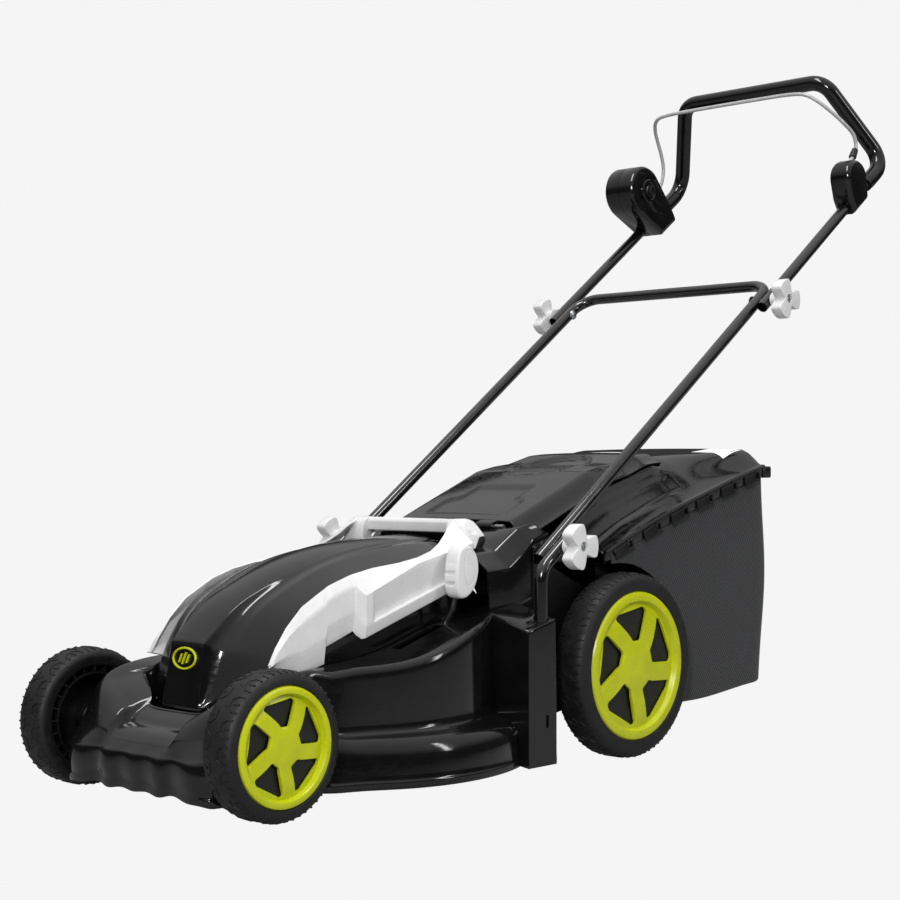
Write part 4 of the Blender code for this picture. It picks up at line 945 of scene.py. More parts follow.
# %% Deck sections
def section(index, station):
    skirt, band, foot, crest, brow, shelf = station
    bead = .0016 if NOSE_END <= index < TOWER_START else .0004
    away = Vector((skirt[0], skirt[1] - .2)).normalized() * bead
    rear = index - TOWER_START
    well = [(.112, .338, .199), (.112, .3445, .2015), (.096, .346, .2020), (.064, .346, .2020),
            (.032, .346, .2020), (0, .346, .2020)]
    lip = well[rear] if rear >= 0 else mix(shelf, (0, shelf[1], shelf[2]), .012 if shelf[0] > .02 else 0)
    lip = (lip[0], lip[1], lip[2] - .002)
    floor = (lip[0] * .985, lip[1] + (.001 if lip[1] < .3 else -.001), WELL_FLOOR)
    out = Vector((floor[0], floor[1] - CUTTER[1])).normalized() * .0095
    return [skirt,
            (skirt[0] + away.x, skirt[1] + away.y, skirt[2] + .0025),
            (skirt[0] + away.x, skirt[1] + away.y, skirt[2] + .0085),
            (skirt[0], skirt[1], skirt[2] + .0110),
            mix(skirt, band, .96, .86),
            mix(band, foot, .08, .25),
            mix(band, foot, .38, .85),
            mix(band, foot, .80, .98),
            mix(foot, crest, .05, .06),
            mix(foot, crest, .50),
            mix(foot, crest, .93, .90),
            crest,
            mix(crest, brow, .55, .95),
            mix(brow, shelf, .12, .02),
            mix(brow, shelf, .30, .35 if DRUM_START <= index < TOWER_START else .40),
            shelf, lip, floor, (out.x, CUTTER[1] + out.y, WELL_FLOOR)]


def deck_row_crease(row, column):
    nose, drum = column < NOSE_END, NOSE_END + 5 <= column < TOWER_START
    sharp = {0: 1, 2: .7, 3: .7, 15: 1, 16: 1, 17: .9, 18: 1}
    if nose:
        sharp.update({2: 0, 3: 0, 11: .9 if column < 6 else .6, 8: 0})
    elif drum:
        sharp.update({8: .75, 13: .45, 14: .3})
    elif column >= TOWER_START:
        sharp.update({2: 0, 3: 0, 11: .6, 13: .6})
    return sharp.get(row, 0)


def deck_column_crease(row, column):
    if column >= TOWER_START:
        return 1 if row < 15 else .6
    if column in (3, 4) and row >= 10:
        return .7
    if column == NOSE_END:
        return .35
    if column in (NOSE_END + 4, NOSE_END + 5) and row > 7:
        return .5
    return 0


def deck():
    sections = [section(i, s) for i, s in enumerate(STATIONS)]
    rows = [list(row) for row in zip(*sections)]
    shell = cage("moulded_deck", rows, deck_row_crease, deck_column_crease, wall=.0032, levels=2, ring=True)
    slot = lathe([(0, .1195), (.0700, .1195), (.0700, .1345), (0, .1345)], (0, .297, .128), 48)
    cuts = [box((-.104, .44, .078), (.104, .50, .200)), slot]
    for x in (OUTER_TUBE_X, -OUTER_TUBE_X):
        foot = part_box("handle_bracket_left")[0].y + TUBE_R - AXLE_Y
        cuts.append(lathe([(0, .150), (TUBE_R + .0016, .150), (TUBE_R + .0016, .240), (0, .240)],
                          (x, foot, 0), 32, "Z"))
        side = 1 if x > 0 else -1
        cuts.append(box((min(side * .2125, side * .2205), .425, .062),
                        (max(side * .2125, side * .2205), .4305, .078)))
    cut_by(shell, *cuts)
    bevel_by(shell, .0004, 1, 60)
    return settle(shell, GLOSS_BLACK, "deck", "black_gloss", "deck_shell", sharp=38)


deck()
print("deck made")

# %% [markdown]
# ## Motor hood
# The hood arches from the nose over the motor. A raised band runs up its middle and ends in a flat nose
# plate, and a groove beside the band fades out towards the top. Each row below is one cross-section,
# from the middle to the side.

# %% Hood
def hood_row(y, top, band, groove, panel, shoulder, base, depth):
    """band, panel and shoulder are (x, y, z); depth is how far the groove drops beside the band."""
    groove_x = band[0] + .0045
    drop = (groove_x, mix(band, panel, .12)[1] + depth * .9, mix(band, panel, .15)[2] - depth)
    return [(0, y, top), (band[0] * .6, y, top - (top - band[2]) * .35), band, drop,
            (groove, mix(band, panel, .75)[1], panel[2] - depth * .35), panel, mix(panel, shoulder, .5),
            shoulder, (.1080, shoulder[1] + .003, shoulder[2] - .012), (.1080, base[0], base[1])]


def hood():
    bottom = WELL_FLOOR + .006
    rows = [
        hood_row(.0085, .1085, (.0325, .0085, .1085), .046, (.062, .030, .1085), (.094, .046, .1085),
                 (.064, bottom), .0),
        hood_row(.0085, .1110, (.0325, .0085, .1110), .046, (.062, .031, .1220), (.096, .050, .1350),
                 (.070, bottom), .0),
        hood_row(.0100, .1200, (.0322, .0100, .1200), .046, (.060, .034, .1320), (.098, .053, .1450),
                 (.074, bottom), .004),
        hood_row(.0195, .1800, (.0297, .0195, .1800), .043, (.056, .046, .1740), (.098, .062, .1680),
                 (.080, bottom), .006),
        hood_row(.0215, .1870, (.0297, .0215, .1865), .043, (.056, .049, .1800), (.099, .066, .1740),
                 (.084, bottom), .006),
        hood_row(.0410, .2090, (.0310, .0430, .2060), .044, (.057, .062, .1990), (.100, .078, .1930),
                 (.092, bottom), .005),
        hood_row(.0670, .2345, (.0330, .0670, .2285), .045, (.059, .077, .2190), (.101, .095, .2130),
                 (.104, bottom), .004),
        hood_row(.1000, .2525, (.0350, .1000, .2440), .046, (.060, .102, .2370), (.102, .115, .2290),
                 (.120, bottom), .0025),
        hood_row(.1420, .2705, (.0370, .1420, .2615), .047, (.061, .144, .2570), (.103, .148, .2470),
                 (.150, bottom), .001),
        hood_row(.1920, .2855, (.0380, .1920, .2790), .049, (.062, .190, .2750), (.103, .188, .2610),
                 (.190, bottom), .0003),
        hood_row(.2500, .2970, (.0380, .2500, .2920), .049, (.062, .250, .2870), (.104, .250, .2710),
                 (.250, bottom), 0),
        hood_row(.3280, .3025, (.0380, .3280, .2990), .049, (.062, .328, .2950), (.104, .328, .2800),
                 (.332, .150), 0),
        hood_row(.3900, .3035, (.0380, .3900, .3010), .049, (.062, .390, .2970), (.104, .390, .2850),
                 (.390, .216), 0)]

    def row_crease(row, column):
        if row in (0, len(rows) - 1):
            return 1
        return {1: .8, 2: .3, 3: .5, 4: .8}.get(row, 0) if column <= 2 else 0

    def column_crease(row, column):
        fade = max(0.0, 1 - row / 11)
        return {2: .95 if row < 9 else .6, 3: .5 * fade, 5: .3 + .5 * fade, 7: .75, 9: 1}.get(column, 0)

    shell = cage("arched_hood", rows, row_crease, column_crease, wall=.0028, levels=3)
    return settle(shell, GLOSS_BLACK, "deck", "black_gloss", "motor_hood", sharp=40)


hood()
print("hood made")

# %% [markdown]
# ## White trims and carry handle
# A moulded panel can also be described by a rule: how far its face stands out at each place. The trim's
# face steps out where the rear two thirds begin, and a wedge-shaped pocket is pressed into it between a
# crease and the lower flange. The rule is sampled on a fine grid and Solidify gives the thickness.

# %% Panels drawn by a rule
def ease(start, end, at):
    """0 before start, 1 after end and a smooth ramp between them."""
    share = min(max((at - start) / (end - start), 0), 1)
    return share * share * (3 - 2 * share)


def along_line(knots, at):
    """Straight interpolation in a list whose first numbers rise; gives the remaining numbers."""
    for low, high in zip(knots, knots[1:]):
        if at <= high[0]:
            share = max((at - low[0]) / (high[0] - low[0]), 0)
            return [a + (b - a) * share for a, b in zip(low[1:], high[1:])]
    return list(knots[-1][1:])


def panel(name, columns, outward, wall=.0025, rim=.0006):
    """Columns of points become a sheet whose face looks outward, with its wall behind it."""
    bm = bmesh.new()
    bridge(bm, [[bm.verts.new(p) for p in column] for column in columns], closed=False)
    bm.normal_update()
    if sum((face.normal * face.calc_area() for face in bm.faces), Vector()).dot(Vector(outward)) < 0:
        bmesh.ops.reverse_faces(bm, faces=bm.faces)
    mesh = bpy.data.meshes.new(name)
    bm.to_mesh(mesh)
    bm.free()
    obj = bpy.data.objects.new(name, mesh)
    bpy.context.scene.collection.objects.link(obj)
    add_modifier(obj, "SOLIDIFY", thickness=wall, offset=-1, use_even_offset=False)
    freeze(obj)
    if rim:
        bevel_by(obj, rim, 2, 55)
    return obj


def steps(knots, spacing, counts=None):
    """Numbers through the knots, with even steps of about spacing, or so many, between each two."""
    made = []
    for k, (low, high) in enumerate(zip(knots, knots[1:])):
        count = counts[k] if counts else max(1, round((high - low) / spacing))
        made += [low + (high - low) * i / count for i in range(count)]
    return made + [knots[-1]]


# %% Side trims
TRIM_TOP = [(.050, .1635, .1105), (.060, .182, .1105), (.078, .206, .1105), (.103, .229, .1105),
            (.146, .252, .1105),
            (.181, .263, .111), (.218, .270, .112), (.264, .2745, .112), (.298, .280, .111),
            (.325, .287, .108),
            (.345, .296, .103), (.360, .306, .098), (.372, .316, .094), (.384, .3225, .091)]
TRIM_LOW = [(.050, .1625), (.075, .157), (.103, .151), (.1365, .159), (.1385, .179), (.184, .195),
            (.1885, .1855), (.195, .187), (.342, .234), (.352, .240), (.384, .284)]
CREASE = [(.194, .2385), (.284, .2740), (.335, .2850), (.402, .3000)]
POCKET = [(.194, .2015), (.326, .2440), (.402, .2600)]


def trim_column(y):
    top, top_x = along_line(TRIM_TOP, y)
    low, = along_line(TRIM_LOW, y)
    crease, = along_line(CREASE, y)
    pocket, = along_line(POCKET, y)
    raised = ease(.1835, .1925, y)
    depth = .0065 * ease(.2045, .2065, y) * (1 - ease(.325, .365, y))
    height = top - low
    plain = [(low, .1125), (low + height * .35, .1165), (low + height * .37, .1166),
             (low + height * .8, .1160), (top, top_x)]
    crease = min(max(crease, low + .006), top - .0015)
    pocket = min(max(pocket, low + .002), crease - .003)
    bold = [(low, .1245), (pocket, .1272), (pocket + .0014, .1272 - depth), (crease, .1274), (top, top_x)]
    knots = [(a[0] + (b[0] - a[0]) * raised, a[1] + (b[1] - a[1]) * raised) for a, b in zip(plain, bold)]
    column = []
    for (z0, x0), (z1, x1), parts in zip(knots, knots[1:], (4, 1, 7, 4)):
        column += [(x0 + (x1 - x0) * i / parts, y, z0 + (z1 - z0) * i / parts) for i in range(parts)]
    return column + [(knots[-1][1], y, knots[-1][0])]


def side_trims():
    stations = steps([.050, .1365, .1385, .1835, .1925, .2045, .2065, .384], .0035)
    columns = [trim_column(y) for y in stations]
    for side, name in ((1, "side_trim_left"), (-1, "side_trim_right")):
        shape = panel("white_" + name, [[(side * x, y, z) for x, y, z in c] for c in columns], (side, 0, .3))
        settle(shape, WHITE, "deck", "white", name, sharp=24)


side_trims()

# %% [markdown]
# The carry handle is one white bridge. Its bar has a flat front, a rounded top and two broad feet whose
# outer flanks lean out to meet the trims; each foot ends in a small lip at the back.

# %% Carry handle
def bridge_foot(side):
    profile = [(.3840, .2880), (.3850, .3150), (.3890, .3220), (.3930, .3250), (.4020, .3255), (.4085, .3235),
               (.4130, .3180), (.4160, .3100), (.4180, .3045), (.4120, .3035), (.4060, .3020), (.3990, .2880)]
    bm = bmesh.new()
    inner_ring = [bm.verts.new((side * (.0800 - .003 * ease(.300, .320, z)), y, z)) for y, z in profile]
    middle_ring = [bm.verts.new((side * (.0995 - .002 * ease(.300, .325, z)), y, z + .0006))
                   for y, z in profile]
    outer_ring = [bm.verts.new((side * (.1185 - .0130 * ease(.300, .325, z)), y, z - .0010))
                  for y, z in profile]
    bridge(bm, [inner_ring, middle_ring, outer_ring])
    bm.faces.new(inner_ring)
    bm.faces.new(outer_ring)
    foot = loose("foot", bm)
    bevel_by(foot, .0016, 3, 40)
    return freeze(foot)


def carry_handle():
    bar = [(.3960, .3075), (.3955, .3200), (.3975, .3236), (.4010, .3250), (.4080, .3250), (.4120, .3225),
           (.4125, .3095), (.4100, .3070)]
    whole = loose("carry_bridge", plate(bar, "X", -.090, .090))
    bevel_by(whole, .0012, 3, 30)
    freeze(whole)
    cut_by(whole, bridge_foot(1), bridge_foot(-1), operation="UNION")
    for side in (1, -1):
        inset = plate([(.3925, .3060), (.3925, .3190), (.4000, .3205), (.4030, .3180), (.4010, .3060)], "X",
                      min(side * .1130, side * .1250), max(side * .1130, side * .1250))
        bmesh.ops.translate(inset, vec=(side * -.0012, 0, 0), verts=inset.verts)
        cut_by(whole, inset)
    bevel_by(whole, .0005, 2, 35)
    settle(whole, WHITE, "deck", "white", "carry_handle", sharp=30)


carry_handle()

# %% Vent behind the carry handle
def vent():
    base = merged(box((-.092, .4300, .2725), (.092, .4485, .2800)),
                  box((-.092, .4300, .2725), (-.089, .4485, .2990)),
                  box((.089, .4300, .2725), (.092, .4485, .2990)))
    settle(loose("vent_base", base), SATIN_BLACK, "deck", "black_matt", "vent_grille")
    fins = loose("vent_fins", merged(*[plate([(x - .0022, .2795), (x - .0008, .2795), (x + .0090, .3050),
                                              (x + .0076, .3050)], "Y", .4200, .4480)
                                       for x in [-.0850 + .0112 * i for i in range(15)]]))
    settle(fins, SATIN_BLACK, "deck", "black_matt", "vent_grille")


vent()

# %% [markdown]
# The nose badge is a plain oval ring with three slanted bars, raised from the nose plate.

# %% Nose badge
def nose_badge():
    low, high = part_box("nose_badge")
    at = Vector((0, (low.y + high.y) / 2 - AXLE_Y, (low.z + high.z) / 2))
    lean = math.atan2(.0095, .060)
    ring = [Vector((.0208 * math.cos(t), 0, .0122 * math.sin(t))) for t in
            (2 * math.pi * i / 64 for i in range(64))]
    shapes = []
    rails = []
    bm = bmesh.new()
    for point in ring:
        out = Vector((point.x / .0208 ** 2, 0, point.z / .0122 ** 2)).normalized()
        rails.append([bm.verts.new(point + out * a + Vector((0, b, 0))) for a, b in
                      ((-.0012, .0008), (-.0012, -.0008), (-.0007, -.0013), (.0007, -.0013), (.0012, -.0008),
                       (.0012, .0008))])
    bridge(bm, rails, looped=True)
    shapes.append(bm)
    for x in (-.0068, 0, .0068):
        half = .0072 if x == 0 else .0052
        shapes.append(plate([(x - .0012 - half * .35, -half), (x + .0012 - half * .35, -half),
                             (x + .0012 + half * .35, half), (x - .0012 + half * .35, half)],
                            "Y", -.0012, .0008))
    badge = merged(*shapes)
    bmesh.ops.rotate(badge, matrix=Matrix.Rotation(-lean, 3, "X"), verts=badge.verts)
    bmesh.ops.translate(badge, vec=at + Vector((0, .0003, 0)), verts=badge.verts)
    settle(loose("nose_badge_ring", badge), LIME, "deck", "lime", "nose_badge")


nose_badge()

# %% [markdown]
# ## Height lever
# A dark bent rod carries a flat white knob. The knob's front edge has three finger grooves and its outer
# face an oval pad that stands in a fine groove.

# %% Lever
def grown(y, z, center, size):
    return (center.x + (y - center.x) * size, center.y + (z - center.y) * size)


def lever():
    stem = round_corners([(.1295, .3010, .118), (.1295, .3230, .178), (.1300, .3290, .198),
                          (.1370, .3340, .213), (.1395, .3400, .240)], .006, 5)
    rod = sweep(stem, .0036, sides=20)
    blade = plate([(.2900, .1130), (.2960, .1090), (.3050, .1090), (.3110, .1150), (.3262, .1530),
                   (.3300, .1830),
                   (.3200, .1860), (.3080, .1500), (.2930, .1270), (.2890, .1200)], "X", .1276, .1314)
    whole = loose("lever_blade", blade)
    bevel_by(whole, .0006, 2)
    settle(whole, SATIN_BLACK, "height_lever", "black_gloss", "lever_rod")
    settle(loose("lever_stem", rod), SATIN_BLACK, "height_lever", "black_gloss", "lever_rod")

    outline = [(.3345, .2270), (.3285, .2310), (.3255, .2400), (.3250, .2560), (.3265, .2740), (.3300, .2880),
               (.3365, .2950), (.3450, .2965), (.3560, .2920), (.3640, .2830), (.3675, .2700), (.3670, .2570),
               (.3620, .2430), (.3540, .2330), (.3440, .2270)]
    bm = bmesh.new()
    rows = []
    center = Vector((.3460, .2620))
    for across, size in ((.1300, .90), (.1315, .965), (.1345, 1.0), (.1490, 1.0), (.1518, .97), (.1532, .91),
                         (.1536, .82)):
        rows.append([bm.verts.new((across, *grown(y, z, center, size))) for y, z in outline])
    bridge(bm, rows)
    bm.faces.new(rows[0])
    bm.faces.new(rows[-1])
    knob = loose("lever_knob", bm)
    smooth_by(knob, 2)
    freeze(knob)
    for z in (.2460, .2600, .2735):
        groove = lathe([(0, .1290), (.0048, .1290), (.0048, .1490), (0, .1490)], (0, .3222, z), 24)
        cut_by(knob, groove)
    pad = [(.3400, .2560), (.3396, .2740), (.3420, .2860), (.3490, .2900), (.3570, .2860), (.3625, .2760),
           (.3625, .2640), (.3580, .2530), (.3500, .2430), (.3430, .2450)]
    groove = bmesh.new()
    rims = []
    middle_pad = Vector((.3510, .2670))
    for across, size in ((.1526, 1.05), (.1545, 1.05), (.1545, .98), (.1526, .98)):
        rims.append([groove.verts.new((across, *grown(y, z, middle_pad, size))) for y, z in pad])
    bridge(groove, rims, looped=True)
    moat = loose("moat", groove)
    smooth_by(moat, 2)
    freeze(moat)
    cut_by(knob, moat)
    bevel_by(knob, .0004, 2, 40)
    settle(knob, WHITE, "height_lever", "white", "lever_knob", sharp=35)


lever()
print("trims, handle and lever made")

# %% [markdown]
# ## Cowl, rear wall and flap
# Behind the carry handle the deck rises to the flap. Cheeks slope down from it on both sides to an
# upright wall between the tower and the wheel.

# %% Cowl and rear wall
def cowl():
    rows = [
        [(0, .3915, .2870), (.050, .3915, .2870), (.092, .3915, .2850), (.118, .3915, .2800),
         (.1440, .3930, .2600), (.1462, .3940, .2300), (.1462, .3950, .2080)],
        [(0, .4300, .2880), (.050, .4300, .2880), (.094, .4300, .2870), (.122, .4300, .2830),
         (.1440, .4340, .2600), (.1464, .4360, .2340), (.1464, .4380, .2080)],
        [(0, .4495, .3010), (.050, .4495, .3010), (.094, .4485, .3000), (.124, .4480, .2960),
         (.1445, .4600, .2760), (.1466, .4640, .2500), (.1466, .4680, .2080)],
        [(0, .4720, .3085), (.050, .4720, .3085), (.096, .4700, .3100), (.128, .4700, .3130),
         (.1448, .4850, .2980), (.1466, .4900, .2700), (.1466, .4960, .2080)],
        [(0, .4765, .3090), (.050, .4765, .3090), (.096, .4765, .3120), (.1345, .4900, .3180),
         (.1450, .5150, .3050), (.1466, .5150, .2800), (.1466, .5300, .2080)]]
    obj = cage("rear_cowl_shell", rows, lambda r, c: 1 if r in (0, 4) else (.7 if r in (1, 2) else .4),
               lambda r, c: {2: .3, 3: .85, 4: .7, 6: 1}.get(c, 0), wall=.0026, levels=3)
    cut_by(obj, box((-.0885, .415, .265), (.0885, .4490, .330)))
    settle(obj, GLOSS_BLACK, "deck", "black_gloss", "rear_cowl", sharp=38)


def rear_frame():
    front = .4784
    cheek = [(front, .060), (.560, .070), (.640, .082), (.700, .082), (.733, .110), (.733, .152),
             (.690, .182), (.640, .262), (.600, .262), (.588, .300), (.540, .306), (front, .290)]
    pieces = []
    for side in (1, -1):
        wall = loose("cheek", plate(cheek, "X", min(side * .1462, side * .1490),
                                    max(side * .1462, side * .1490)))
        rim = loose("cheek_rim", box((min(side * .1490, side * .1560), .4960, .0940),
                                     (max(side * .1490, side * .1560), .5000, .2600)))
        bevel_by(rim, .001, 2)
        freeze(rim)
        pieces += [wall, rim]
    return pieces


cowl()
for wall in rear_frame():
    if wall.name.startswith("cheek_rim"):
        settle(wall, GLOSS_BLACK, "deck", "black_gloss")
    else:
        cut_by(wall, box((-.16, .60, .04), (.16, .76, .19)), box((-.16, .47, .04), (.16, .61, .2650)))
        bevel_by(wall, .0006, 2)
        settle(wall, GLOSS_BLACK, "deck", "black_gloss")

# %% [markdown]
# The flap is a thin moulding with a crown along its middle, a raised step near the hinge and a shallow
# oval dish. The step and the dish are again a rule over a grid.

# %% Rear flap
FLAP = [(.4835, .3225, .1290), (.5340, .3430, .1300), (.5910, .3660, .1300), (.6460, .3890, .1290),
        (.6800, .3960, .1270), (.7140, .4000, .1260), (.7610, .4125, .1240), (.7900, .4150, .1220),
        (.8000, .4150, .1210)]


def flap_height(x, y):
    crown, half = along_line(FLAP, y)
    share = abs(x) / half
    fall = .0030 * share ** 2 + .0215 * ease(.78, 1.0, share) * (1 - .45 * ease(.60, .78, y))
    oval = math.hypot(x / .062, (y - .690) / .062)
    dish = .0042 * (1 - ease(.90, 1.0, oval))
    rim = .0010 * (ease(.88, .98, oval) - ease(1.0, 1.12, oval))
    edge = .072 - .020 * ease(.545, .560, y)
    step = (.0040 * (1 - ease(edge - .004, edge + .002, abs(x)))
            * ease(.500, .508, y) * (1 - ease(.585, .600, y)))
    return crown - fall - dish + rim - step


def rear_flap():
    columns = []
    for y in steps([.4835, .500, .508, .545, .560, .585, .600, .800], .0045):
        half = along_line(FLAP, y)[1]
        row = steps([0, .048, .054, .068, .074, half * .78, half], 0, (12, 3, 4, 3, 7, 9))
        row = [-x for x in row[:0:-1]] + row
        columns.append([(x, y, flap_height(x, y)) for x in row])
    sheet = panel("flap_sheet", columns, (0, 0, 1), wall=.0026, rim=.0007)
    settle(sheet, GLOSS_BLACK, "rear_flap", "black_gloss", "rear_flap", sharp=50)
    y, z = .478, .3135
    shapes = []
    for low, high in ((-.080, -.050), (.050, .080)):
        barrel = lathe([(.0036, low), (.0036, high), (.0062, high), (.0062, low)], (0, y, z), 32)
        neck = plate([(.4780, .3160), (.4900, .3200), (.4900, .3240), (.4790, .3197)], "X", low, high)
        shapes += [barrel, neck]
    settle(loose("flap_knuckles", merged(*shapes)), GLOSS_BLACK, "rear_flap", "black_gloss", "rear_flap")


rear_flap()
print("cowl and flap made")

# %% [markdown]
# ## Grass bag
# The lid is one hard moulding: a dome that falls to a rim on both sides, a raised middle that the flap
# lies on, and a flange below the rim where clips hold the cloth.

# %% Bag lid
LID = [(.5880, .3520, .1790, .2760), (.6460, .3745, .1830, .3010), (.7140, .3900, .1850, .3250),
       (.7650, .4020, .1860, .3410), (.8120, .4110, .1860, .3540), (.8910, .4150, .1860, .3760),
       (.9400, .4200, .1855, .3880), (.9620, .4225, .1840, .3925), (.9740, .4190, .1820, .3940),
       (.9820, .4100, .1795, .3935), (.9870, .3980, .1770, .3925), (.9900, .3935, .1740, .3920)]


def lid_height(x, y):
    crown, half, rim = along_line(LID, y)
    share = min(abs(x) / half, 1)
    full = .50 + .32 * ease(.82, .96, y)
    fall = ease(full, 1.06, share) / ease(full, 1.06, 1)
    dome = crown - (crown - rim) * (.10 * share ** 2 + .90 * fall)
    front = 1 - ease(.775, .795, y)
    shelf = (.0045 * (1 - ease(.124, .131, abs(x)))
             - .0035 * ease(.131, .140, abs(x)) * (1 - ease(.158, .166, abs(x)))) * front
    return dome + shelf


def lid_row(y):
    half = along_line(LID, y)[1]
    row = steps([0, .124, .131, .140, .158, .166, half - .003, half], 0, (20, 4, 4, 5, 4, 3, 2))
    return [(x, y, lid_height(x, y)) for x in [-x for x in row[:0:-1]] + row]


def bag_lid():
    rows = [lid_row(y) for y in steps([.5880, .775, .795, .9400], .006)[:-1] + steps([.9400, .9900], .0025)]
    shape = panel("lid_dome", rows, (0, 0, 1), wall=.0024, rim=.0005)
    settle(shape, GLOSS_BLACK, "grass_bag", "black_gloss", "bag_cover", sharp=50)


def rim_point(side, share, down=0.0, out=0.0):
    """A place on the rim: 0 at the front end and 1 at the rear corner."""
    y = .5900 + (.9780 - .5900) * share
    half, rim = along_line(LID, y)[1:]
    return Vector((side * (half + .0010 + out), y, rim - down))


CLIP_PROUD = .0030


def bag_flange():
    for side, name in ((1, "left"), (-1, "right")):
        bm = bmesh.new()
        rows = []
        for i in range(61):
            share = i / 60
            rows.append([bm.verts.new(rim_point(side, share, down, out)) for down, out in
                         ((-.0035, -.002), (-.0030, .0022), (-.0010, .0036), (.0010, .0032), (.0022, .0008),
                          (.0140, .0002), (.0150, -.0004), (.0150, -.0024), (.0005, -.0026))])
        bridge(bm, rows)
        bm.faces.new(rows[0])
        bm.faces.new(rows[-1])
        rail = loose("lid_flange_" + name, bm)
        settle(rail, GLOSS_BLACK, "grass_bag", "black_gloss", "bag_cover")
        clips = []
        for share in (.04, .20, .36, .52, .68, .84):
            low, high = rim_point(side, share), rim_point(side, share + .095)
            run = (high - low).normalized()
            up = Vector((0, -run.z, run.y))
            across = Vector((side, 0, 0))
            for start, length, top, bottom in ((0, .0300, -.0045, -.0185), (.0300, .0075, -.0030, -.0060),
                                               (.0300, .0075, -.0150, -.0185),
                                               (.0375, .0040, -.0040, -.0185)):
                clip = bmesh.new()
                ends = []
                for x in (0, CLIP_PROUD):
                    base = low + across * x
                    ends.append([clip.verts.new(base + run * a + up * b) for a, b in
                                 ((start, bottom), (start + length, bottom), (start + length, top),
                                  (start, top))])
                bridge(clip, ends)
                clip.faces.new(ends[0])
                clip.faces.new(ends[1])
                clips.append(clip)
        holder = loose("lid_clips_" + name, merged(*clips))
        bevel_by(holder, .0006, 1, 40)
        settle(holder, SATIN_BLACK, "grass_bag", "black_matt", "bag_cover")
        corner = loose("lid_corner_" + name, box((min(side * .1745, side * .1860), .9740, .3770),
                                                 (max(side * .1745, side * .1860), .9935, .3945)))
        bevel_by(corner, .0025, 3)
        settle(corner, SATIN_BLACK, "grass_bag", "black_matt", "bag_cover")
    back = loose("lid_back", box((-.1745, .9885, .3780), (.1745, .9920, .3935)))
    bevel_by(back, .0012, 2)
    settle(back, GLOSS_BLACK, "grass_bag", "black_gloss", "bag_cover")


def lid_sticker():
    rows = []
    for i in range(9):
        y = .910 + .054 * i / 8
        rows.append([(x, y, lid_height(x, y) + .0003) for x in (.0970 + .0580 * k / 8 for k in range(9))])
    sheet = panel("plain_sticker", rows, (0, 0, 1), wall=.0002, rim=0)
    settle(sheet, LABEL, "grass_bag", "white")


bag_lid()
bag_flange()
lid_sticker()

# %% Bag handle: a white crescent on the lid
def crescent():
    bm = bmesh.new()
    rows = []
    for i in range(33):
        turn = math.radians(35 + 110 * i / 32)
        wide = .0065 * math.sin(math.pi * (i + 1.2) / 34.4) + .0015
        x, y = .069 * math.cos(turn), .7700 + .069 * math.sin(turn)
        out = Vector((math.cos(turn), math.sin(turn), 0))
        rows.append([bm.verts.new(Vector((x, y, lid_height(x, y) - .0015)) + out * a * wide
                                  + Vector((0, 0, b))) for a, b in
                     ((-1, 0), (-1, .0030), (-.6, .0052), (.6, .0052), (1, .0030), (1, 0))])
    bridge(bm, rows)
    bm.faces.new(rows[0])
    bm.faces.new(rows[-1])
    settle(loose("lid_crescent", bm), WHITE, "grass_bag", "white", "bag_handle")


crescent()

# %% [markdown]
# The bag's cloth hangs from the flange. It is one lofted shell of horizontal loops: taut under the lid,
# sagging outwards halfway down and rounded where it turns under. Its UV map is measured in metres along
# the loop and down the cloth, so the twill's ribs keep their true width and run on round the corners.

# %% Bag cloth
WHEEL_ROOM = .138                # the cloth keeps this far from the rear axle, clear of the tyre


def cloth_height(y, level):
    rim = along_line(LID, min(max(y, .5880), .9820))[2] - .006
    low = .0640 + .012 * ease(.80, .99, y)
    return rim + (low - rim) * level


def cloth_front(level):
    """How far forward the cloth reaches at a level: to the lid's front, or to the arch over the wheel."""
    y = .800
    while y > .603 and math.hypot(y - WHEELBASE, cloth_height(y, level) - REAR_R) > WHEEL_ROOM:
        y -= .001
    return y


def bag_loop(level):
    """One horizontal loop at a level from 0 (top) to 1 (floor), from the front of one side right round
    to the front of the other."""
    sag = math.sin(math.pi * level) * .0030 + .0030 * math.sin(math.pi * level) ** 3
    half = .1815 + sag * .8
    rear = .9820 + sag
    corner = .016 + .010 * level
    front = cloth_front(level)
    made = []
    for i in range(22):
        y = front + (rear - corner - front) * i / 21
        made.append((half, y, cloth_height(y, level)))
    rear_z = made[-1][2]
    for i in range(1, 7):
        turn = math.radians(90 * i / 7)
        made.append((half - corner + corner * math.cos(turn), rear - corner + corner * math.sin(turn),
                     rear_z))
    for i in range(15):
        x = half - corner - (2 * half - 2 * corner) * i / 14
        belly = .0035 * math.sin(math.pi * i / 14) * math.sin(math.pi * level)
        made.append((x, rear + belly, rear_z))
    far_side = [(-x, y, z) for x, y, z in made[:28]][::-1]
    return made + far_side


